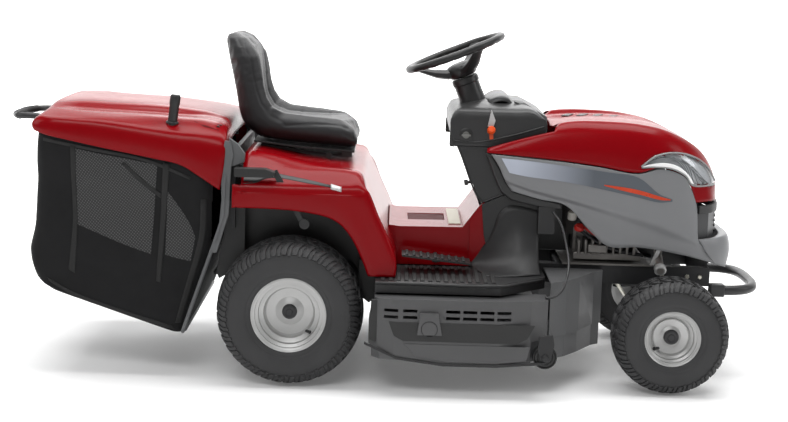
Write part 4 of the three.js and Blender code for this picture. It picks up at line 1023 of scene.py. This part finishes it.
# ---------------------------------------------------------------- cutting deck
# A welded steel deck in charcoal powder coat, with bolted-on moulded side covers that carry two rows of
# vents. A ground roller hangs outside each front corner, and two blades turn on vertical spindles.
deck_grey = finish("deck_charcoal_coat", (0.085, 0.086, 0.088), 0.4, grain=1000, depth=0.14, shade=0.12, cloud=5)
cover_grey = finish("deck_cover_charcoal", (0.07, 0.07, 0.0715), 0.42, grain=1400, depth=0.15, shade=0.12, cloud=5)
dress("deck_shell", deck_grey, 2)
seams = bmesh.new()
for side in (-1, 1):
    boxed(seams, 486, 516, min(side * 396, side * 402), max(side * 396, side * 402), 206, 292)
made("deck_seam_strips", seams, "deck", cover_grey, edge=1)
blade_steel = finish("blade_steel", (0.4, 0.39, 0.37), 0.4, grain=200, depth=0.2, metallic=1.0, shade=0.2)
for side, hand in ((-1, "right"), (1, "left")):
    dress(f"deck_side_cover_{hand}", cover_grey, 3)
    dress(f"blade_{hand}", blade_steel, 0.6)
    at = (486, side * 500, 134)
    roller = spun(bmesh.new(), [(7, -16), (20, -16), (24, -12), (30, -12), (33, -16), (36, -14), (37, -9), (37, 9),
                                (36, 14),
                                (33, 16), (30, 12), (24, 12), (20, 16), (7, 16), (7, -16)], (0, side, 0), at, 48)
    made(f"roller_{hand}_moulded", roller, f"roller_{hand}", black_plastic, (f"deck_roller_{hand}",),
         crease=30)
    bracket = pressed(bmesh.new(), [(466, 200), (506, 206), (512, 176), (503, 128), (486, 118), (470, 128),
                                    (462, 160)],
                      side * 519, side * 523)
    spun(bracket, [(0, 4), (11, 4), (11, 9), (8, 12), (0, 12)], (0, side, 0), (486, side * 519, 134), 24)
    made(f"roller_{hand}_bracket", bracket, "deck", powder_black, edge=1.5)
    trim = bmesh.new()
    edge_line = [(486, 113), (340, 100), (180, 100), (40, 117), (-58, 161)]
    pressed(trim, edge_line + [(x, z + 9) for x, z in edge_line[::-1]], side * 519, side * 524)
    made(f"deck_lip_{hand}", trim, "deck", powder_black, edge=2)
    rear_strip = pressed(bmesh.new(), [(-44, 172), (-22, 165), (-6, 296), (-40, 296)], side * 496, side * 508)
    made(f"deck_rear_strip_{hand}", rear_strip, "deck", black_plastic, edge=3)
    panel = pressed(bmesh.new(), [(14, 232), (30, 190), (60, 174), (400, 174), (430, 190), (452, 232)],
                    side * 519.5, side * 522)
    made(f"deck_band_{hand}", panel, "deck", black_plastic, edge=2)
    lower = pressed(bmesh.new(), [(60, 166), (100, 126), (200, 112), (340, 112), (430, 122), (440, 166)],
                    side * 519.5, side * 523)
    made(f"deck_lower_panel_{hand}", lower, "deck", cover_grey, edge=2.5)
    mouth = spun(bmesh.new(), [(0, -3), (17, -3), (19, 0), (23, 4), (25, 4), (25, -4)], (0, side, 0),
                 (136, side * 528, 214), 32)
    made(f"wash_port_{hand}", mouth, "deck", black_plastic, crease=30)

# ---------------------------------------------------------------- deck cable
# The blade-engagement cable in its black sheath, held by the linkage box on the leg shield at one end and
# clipped to the deck's side cover at the other, so it bows outward between the two.
CABLE = [(517, -258, 536), (539, -290, 506), (553, -340, 450), (558, -390, 402), (550, -432, 364), (532, -464, 328),
         (508, -470, 310), (484, -466, 306.6)]
sheath = finish("cable_sheath", (0.02, 0.02, 0.021), 0.35, grain=900, depth=0.1)
route = fine(CABLE, 8)
bm = bmesh.new()
previous = None
for k, point in enumerate(route):
    ahead = (route[min(k + 1, len(route) - 1)] - route[max(k - 1, 0)]).normalized()
    out = ahead.cross(Vector((0, 0, 1))).normalized()
    over = out.cross(ahead)
    ring = [bm.verts.new(point + 4 * (out * math.cos(a) + over * math.sin(a)))
            for a in (s * math.pi / 6 for s in range(12))]
    if previous:
        for s in range(12):
            bm.faces.new((previous[s], previous[(s + 1) % 12], ring[(s + 1) % 12], ring[s]))
    previous = ring
bmesh.ops.holes_fill(bm, edges=[e for e in bm.edges if e.is_boundary], sides=0)
bmesh.ops.recalc_face_normals(bm, faces=bm.faces)
bmesh.ops.scale(bm, verts=bm.verts, vec=(0.001, 0.001, 0.001))
mesh = bpy.data.meshes.new("deck_cable_sheathed")
bm.to_mesh(mesh)
bm.free()
mesh.polygons.foreach_set("use_smooth", [True] * len(mesh.polygons))
mesh.materials.append(sheath)
cable = bpy.data.objects.new("deck_cable_sheathed", mesh)
scene.collection.objects.link(cable)
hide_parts("deck_cable")
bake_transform(cable)

# ---------------------------------------------------------------- collector frame
# A bent steel frame that hangs on two pins behind the seat, in grey powder coat, with a pressed plate on
# each side, a thin rod down the bag's front edge, and a tube handle that sticks out behind.
frame_grey = finish("grey_powder_coat", (0.1, 0.103, 0.106), 0.42, grain=1000, depth=0.15)
handle = [(-1040, 130, 704), (-1070, 130, 760), (-1120, 128, 775), (-1180, 118, 775), (-1202, 70, 774)]
handle = handle + [(-1205, 0, 774)] + [(x, -y, z) for x, y, z in handle[::-1]]
tubes("collector_handle", [handle], 10, "collector", satin_black, ("collector_frame",), 8, 6)
grip = [(x, y, z) for x, y, z in handle if x < -1150]
tubes("collector_handle_grip", [grip], 11.5, "collector", mat_rubber, steps=8, sides=5)
rods = []
for side in (-1, 1):
    y = side * 356
    rods += [[(-534, side * 374, 404), (-620, side * 374, 150), (-622, side * 360, 144)],
             [(-530, y * 0.95, 690), (-1040, y * 0.95, 700)]]
rods += [[(-616, -356, 150), (-616, 356, 150)], [(-1040, -356, 700), (-1040, 356, 700)]]
tubes("collector_rods", rods, 6, "collector", frame_grey, sides=4)
plates = bmesh.new()
for side in (-1, 1):
    near, far = side * 370, side * 378
    pressed(plates, [(-542, 397), (-518, 398), (-483, 516), (-480, 562), (-477, 663), (-470, 700), (-480, 742),
                     (-497, 744), (-508, 671), (-505, 561), (-511, 492)], near, far)
    pressed(plates, [(-530, 430), (-521, 430), (-495, 516), (-491, 640), (-499, 640), (-503, 516)], far, side * 381)
    pressed(plates, [(-478, 664), (-438, 678), (-436, 704), (-458, 733), (-486, 752)], side * 352, side * 370)
made("collector_plates", plates, "collector", frame_grey, edge=2)

# ---------------------------------------------------------------- collector cover
# The bag's lid, one gloss-red moulding with a rolled edge all round, a long raised wing on each side of its
# crown, and a finger recess at its front edge.
COVER = [
    [(-1079, -352, 757), (-1078, -358, 757), (-1040, -376, 746), (-960, -381, 730), (-874, -381, 713),
     (-722, -381, 685), (-631, -381, 666), (-572, -381, 632), (-512, -380, 594), (-510, -372, 594)],
    [(-1083, -346, 758), (-1084, -357, 770), (-1042, -379, 763), (-960, -384, 750), (-874, -384, 738),
     (-722, -384, 716), (-631, -384, 700), (-570, -384, 680), (-501, -382, 664), (-499, -374, 664)],
    [(-1084, -340, 758), (-1084, -352, 782), (-1042, -376, 784), (-960, -381, 780), (-874, -381, 772),
     (-722, -381, 750), (-631, -380, 738), (-570, -379, 730), (-496, -378, 722), (-494, -372, 716)],
    [(-1084, -334, 758), (-1076, -344, 794), (-1038, -368, 798), (-960, -373, 795), (-874, -373, 789),
     (-722, -372, 770), (-631, -370, 760), (-570, -369, 755), (-496, -367, 743), (-494, -364, 722)],
    [(-1084, -322, 758), (-1070, -330, 800), (-1035, -354, 802), (-960, -358, 800), (-874, -358, 798),
     (-722, -356, 781), (-631, -354, 772), (-570, -353, 768), (-498, -352, 756), (-493, -350, 728)],
    [(-1084, -275, 758), (-1058, -276, 812), (-1028, -292, 816), (-960, -296, 814), (-874, -296, 811),
     (-722, -296, 805), (-631, -295, 799), (-566, -294, 794), (-502, -292, 774), (-492, -290, 732)],
    [(-1084, -250, 758), (-1054, -250, 817), (-1024, -262, 821), (-960, -236, 817), (-874, -222, 812),
     (-722, -206, 806), (-631, -204, 801), (-566, -202, 799), (-504, -200, 780), (-492, -200, 735)],
    [(-1084, -200, 757), (-1050, -200, 828), (-1020, -205, 833), (-960, -196, 833), (-874, -180, 829),
     (-722, -172, 823), (-631, -170, 815), (-562, -168, 807), (-506, -166, 786), (-492, -165, 738)],
    [(-1084, 0, 757), (-1049, 0, 833), (-1020, 0, 838), (-960, 0, 838), (-874, 0, 834), (-722, 0, 828),
     (-631, 0, 820), (-560, 0, 812), (-508, 0, 790), (-492, 0, 740)]]
cover = moulded(COVER, 6, 5)
cover_skin = BVHTree.FromBMesh(cover)
lever_bore = Vector((-664.5, -330))
FINE_PATCH, BORE_RADIUS, LID_UNDERSIDE = 36, 12, 740
around = [e for e in cover.edges
          if all((v.co.xy - lever_bore).length < FINE_PATCH and v.co.z > LID_UNDERSIDE - 20 for v in e.verts)]
bmesh.ops.subdivide_edges(cover, edges=around, cuts=3, use_grid_fill=True)
middles = {f: f.calc_center_median() for f in cover.faces}
bored = [f for f, at in middles.items() if (at.xy - lever_bore).length < BORE_RADIUS and at.z > LID_UNDERSIDE]
bmesh.ops.delete(cover, geom=bored, context="FACES")
made("cover_shell", cover, "collector", red, ("collector_cover",), wall=3.5, crease=55)
# The finger recess is drawn as a darker red sheet on the lid: painted shade for the hollow.
recess = bmesh.new()
for side in (-1, 1):
    ring = []
    for x, y in ((-606, 272), (-575, 262), (-520, 258), (-506, 300), (-520, 340), (-566, 332), (-598, 312)):
        hit = cover_skin.ray_cast(Vector((x, side * y, 1000)), Vector((0, 0, -1)))[0]
        ring.append(recess.verts.new(hit + Vector((0, 0, 0.8))))
    recess.faces.new(ring)
made("cover_grip_recess_shade", recess, "collector", dark_red, wall=1, edge=0.4)
lever_ring = spun(bmesh.new(), [(16.4, 3), (18, 3), (19.5, 1), (20, -2), (16.4, -2)], (0.11, 0, 0.99),
                  (-662.7, -330, 790), 36)
made("lever_collar", lever_ring, "collector", black_plastic, crease=30)

# ---------------------------------------------------------------- grass bag
# Woven black cloth sewn to net side panels with binding, zipped over the collector frame. It hangs from
# the lid's rim and bellies out a little at the back, and its side panels draw in between the seams.
RINGS = [((-1076, 752), (-532, 674), 369), ((-1080, 704), (-530, 612), 371), ((-1082, 640), (-530, 548), 367),
         ((-1084, 545), (-530, 470), 362), ((-1092, 452), (-534, 396), 361), ((-1104, 392), (-562, 316), 364),
         ((-1098, 346), (-586, 236), 368), ((-1082, 306), (-606, 176), 371), ((-1062, 285), (-622, 138), 371),
         ((-1044, 272), (-634, 137), 362)]
BAG_SIDES = 96
bag = bmesh.new()
loops = []
centres = [(Vector(a).lerp(Vector(b), 0.5), (Vector(b) - Vector(a)), w) for a, b, w in RINGS]
tall = fine([(c.x, w, c.y) for c, _, w in centres], 7)
wide = fine([(d.x, 0, d.y) for _, d, _ in centres], 7)
for k, (middle, reach) in enumerate(zip(tall, wide)):
    down = k / (len(tall) - 1)
    loop = []
    for s in range(BAG_SIDES):
        turn = 2 * math.pi * (s + 0.5) / BAG_SIDES
        c, t = math.cos(turn), math.sin(turn)
        along = math.copysign(abs(c) ** 0.15, c) / 2
        out = math.copysign(abs(t) ** 0.15, t)
        sag = math.sin(math.pi * min(1, down * 1.05)) * (1 - (2 * along) ** 2)
        point = Vector((middle.x + reach.x * along, out * (middle.y - 9 * sag), middle.z + reach.z * along))
        fold = noise.noise(Vector((point.x * 0.006 + point.z * 0.004, out * 3, point.z * 0.012 - point.x * 0.004)))
        crinkle = noise.noise(Vector((point.x * 0.03, out * 7, point.z * 0.022)))
        edge = 1 - abs(2 * down - 1) ** 4
        shove = (fold * 7 + crinkle * 2.2) * edge
        point += Vector((math.copysign(min(1, abs(c) * 1.4) ** 3, c) * min(0, shove * 0.7) * (1 if c < 0 else 0.3),
                         math.copysign(min(1, abs(t) * 1.2) ** 3, t) * min(2, shove), 0))
        loop.append(bag.verts.new(point))
    loops.append(loop)
for a, b in zip(loops, loops[1:]):
    edges = []
    for loop in (a, b):
        for s in range(BAG_SIDES):
            pair = (loop[s], loop[(s + 1) % BAG_SIDES])
            edges.append(bag.edges.get(pair) or bag.edges.new(pair))
    bmesh.ops.bridge_loops(bag, edges=edges)
bag.faces.new(loops[-1])
middles = {f: f.calc_center_median() for f in bag.faces}
mouth = [f for f, at in middles.items() if at.x > -585 and abs(at.y) < 335 and at.z > 425]
bmesh.ops.delete(bag, geom=mouth, context="FACES")
bag_skin = BVHTree.FromBMesh(bag)

cloth = finish("black_bag_cloth", (0.011, 0.011, 0.0115), 0.8, grain=900, depth=0.35, shade=0.3, cloud=9,
               shine=0.15)
cloth.node_tree.nodes["Principled BSDF"].inputs["Sheen Weight"].default_value = 0.03
net = bpy.data.materials.new("black_bag_net")
net.use_nodes = True
nodes, links = net.node_tree.nodes, net.node_tree.links
shader = nodes["Principled BSDF"]
where = nodes.new("ShaderNodeTexCoord")
threads = []
for turn in (0.9, -0.62):
    lay = nodes.new("ShaderNodeMapping")
    lay.inputs["Rotation"].default_value = (0, turn, 0)
    links.new(where.outputs["Object"], lay.inputs["Vector"])
    thread = nodes.new("ShaderNodeTexWave")
    thread.bands_direction = "X"
    thread.inputs["Scale"].default_value = 44
    thread.inputs["Distortion"].default_value = 3.5
    thread.inputs["Detail"].default_value = 1
    thread.inputs["Detail Scale"].default_value = 0.35
    links.new(lay.outputs["Vector"], thread.inputs["Vector"])
    threads.append(thread)
crossed = nodes.new("ShaderNodeMath")
crossed.operation = "MULTIPLY"
links.new(threads[0].outputs["Fac"], crossed.inputs[0])
links.new(threads[1].outputs["Fac"], crossed.inputs[1])
tone = nodes.new("ShaderNodeMix")
tone.data_type = "RGBA"
tone.inputs[6].default_value = (0.007, 0.007, 0.0075, 1)
tone.inputs[7].default_value = (0.085, 0.085, 0.085, 1)
links.new(crossed.outputs["Value"], tone.inputs["Factor"])
links.new(tone.outputs[2], shader.inputs["Base Color"])
shader.inputs["Roughness"].default_value = 0.7
knots = nodes.new("ShaderNodeBump")
knots.inputs["Strength"].default_value = 0.5
knots.inputs["Distance"].default_value = 0.001
links.new(crossed.outputs["Value"], knots.inputs["Height"])
links.new(knots.outputs["Normal"], shader.inputs["Normal"])
made("bag_shell", bag, "collector", cloth, ("grass_bag",), wall=1.5, crease=70)
for tag, panel in (("rear", ([(-952, 706), (-880, 692), (-780, 676), (-702, 662)],
                             [(-948, 470), (-880, 442), (-800, 410), (-722, 384)])),
                   ("front", ([(-672, 584), (-640, 540), (-600, 476), (-586, 440)],
                              [(-678, 384), (-650, 376), (-620, 370), (-600, 366)]))):
    made(f"bag_net_{tag}", inlay(bag_skin, panel, 22, 1.0), "collector", net)
webbing = finish("black_webbing", (0.012, 0.012, 0.012), 0.7, grain=1400, depth=0.4)
straps = (("upright", [(-684, 672), (-690, 560), (-698, 420), (-706, 300)],
           [(-664, 668), (-672, 560), (-682, 420), (-692, 296)]),
          ("slanting", [(-812, 664), (-770, 622), (-730, 586), (-692, 560)],
           [(-800, 668), (-762, 632), (-722, 596), (-690, 574)]),
          ("rear", [(-966, 716), (-964, 600), (-962, 480), (-975, 330)],
           [(-950, 714), (-950, 600), (-948, 476), (-955, 318)]),
          ("hem", [(-1040, 304), (-960, 262), (-800, 207), (-650, 163)],
           [(-1034, 292), (-960, 250), (-800, 194), (-648, 150)]),
          ("front", [(-552, 560), (-556, 440), (-592, 300), (-628, 170)],
           [(-570, 560), (-576, 440), (-612, 300), (-645, 172)]),
          ("top", [(-1050, 736), (-900, 710), (-740, 682), (-600, 630)],
           [(-1050, 726), (-900, 700), (-740, 672), (-602, 620)]))
for tag, upper, lower in straps:
    made(f"bag_binding_{tag}", inlay(bag_skin, (upper, lower), 4, 2.2), "collector", webbing, wall=1)

# ---------------------------------------------------------------- tipping lever
# A steel rod through the lid with a thick moulded grip, pulled up to gain leverage when the bag is tipped.
lever_at, lever_up = Vector((-663.4, -330, 781)), Vector((11, 0, 98)).normalized()
lever = [(0, -4), (12, -4), (14.5, 0), (14.5, 60), (16, 66), (16, 84), (15.5, 90), (13, 94), (0, 94)]
made("tipping_lever_grip", spun(bmesh.new(), lever, lever_up, lever_at, 32), "tip_lever", black_plastic,
     ("tipping_lever",), crease=30)
tubes("tipping_lever_rod", [[(-676, -330, 666), (-664, -330, 778)]], 6, "tip_lever", zinc)

# ---------------------------------------------------------------- controls
# Small moulded and plated hand and foot controls: throttle, key, parking-brake knob, height lever and the
# two pedals with ribbed treads.
orange = finish("orange_plastic", (0.62, 0.07, 0.012), 0.35, grain=900, depth=0.08)
dress("throttle_lever", orange, 0.5)
key_grey = finish("key_grey_metal", (0.2, 0.2, 0.19), 0.4, grain=700, depth=0.1, metallic=0.8)
dress("ignition_key", key_grey, 0.6)
for node, width in (("parking_brake_knob", 1), ("height_lever", 4), ("drive_pedal", 1.5), ("brake_pedal", 1.5),
                    ("discharge_chute", 3)):
    dress(node, black_plastic, width)
treads = bmesh.new()
for k in range(9):
    x = 60 + 22 * k
    z = 402 - 22 * (x - 49) / 213
    boxed(treads, x, x + 9, -334, -262, z - 1, z + 3.5)
made("drive_pedal_tread", treads, "drive_pedal", mat_rubber, edge=1)
knob = spun(bmesh.new(), [(0, -4), (9, -4), (12, 0), (13, 8), (12, 16), (9, 20), (0, 21)], (0.1, -0.9, 0.42),
            (316, -214, 779), 32)
made("throttle_knob", knob, "throttle", orange, crease=35)
# A pale wedge on the dash's side just above the throttle knob is a painted highlight: the light caught by the edge of
# the dash pod.
wedge = pressed(bmesh.new(), [(306, 792), (324, 790), (330, 812), (316, 846)], -209, -205.5)
pale_highlight_paint = finish("pale_painted_highlight", (0.4, 0.4, 0.4), 0.35, depth=0.05)
made("dash_pod_edge_highlight", wedge, "chassis", pale_highlight_paint, edge=1)
collar = spun(bmesh.new(), [(10, 0), (22, 0), (22, 3), (18, 5), (10, 5)], (0, -1, 0), (239, -205.2, 764), 32)
made("key_ring_plate", collar, "chassis", steel_black)
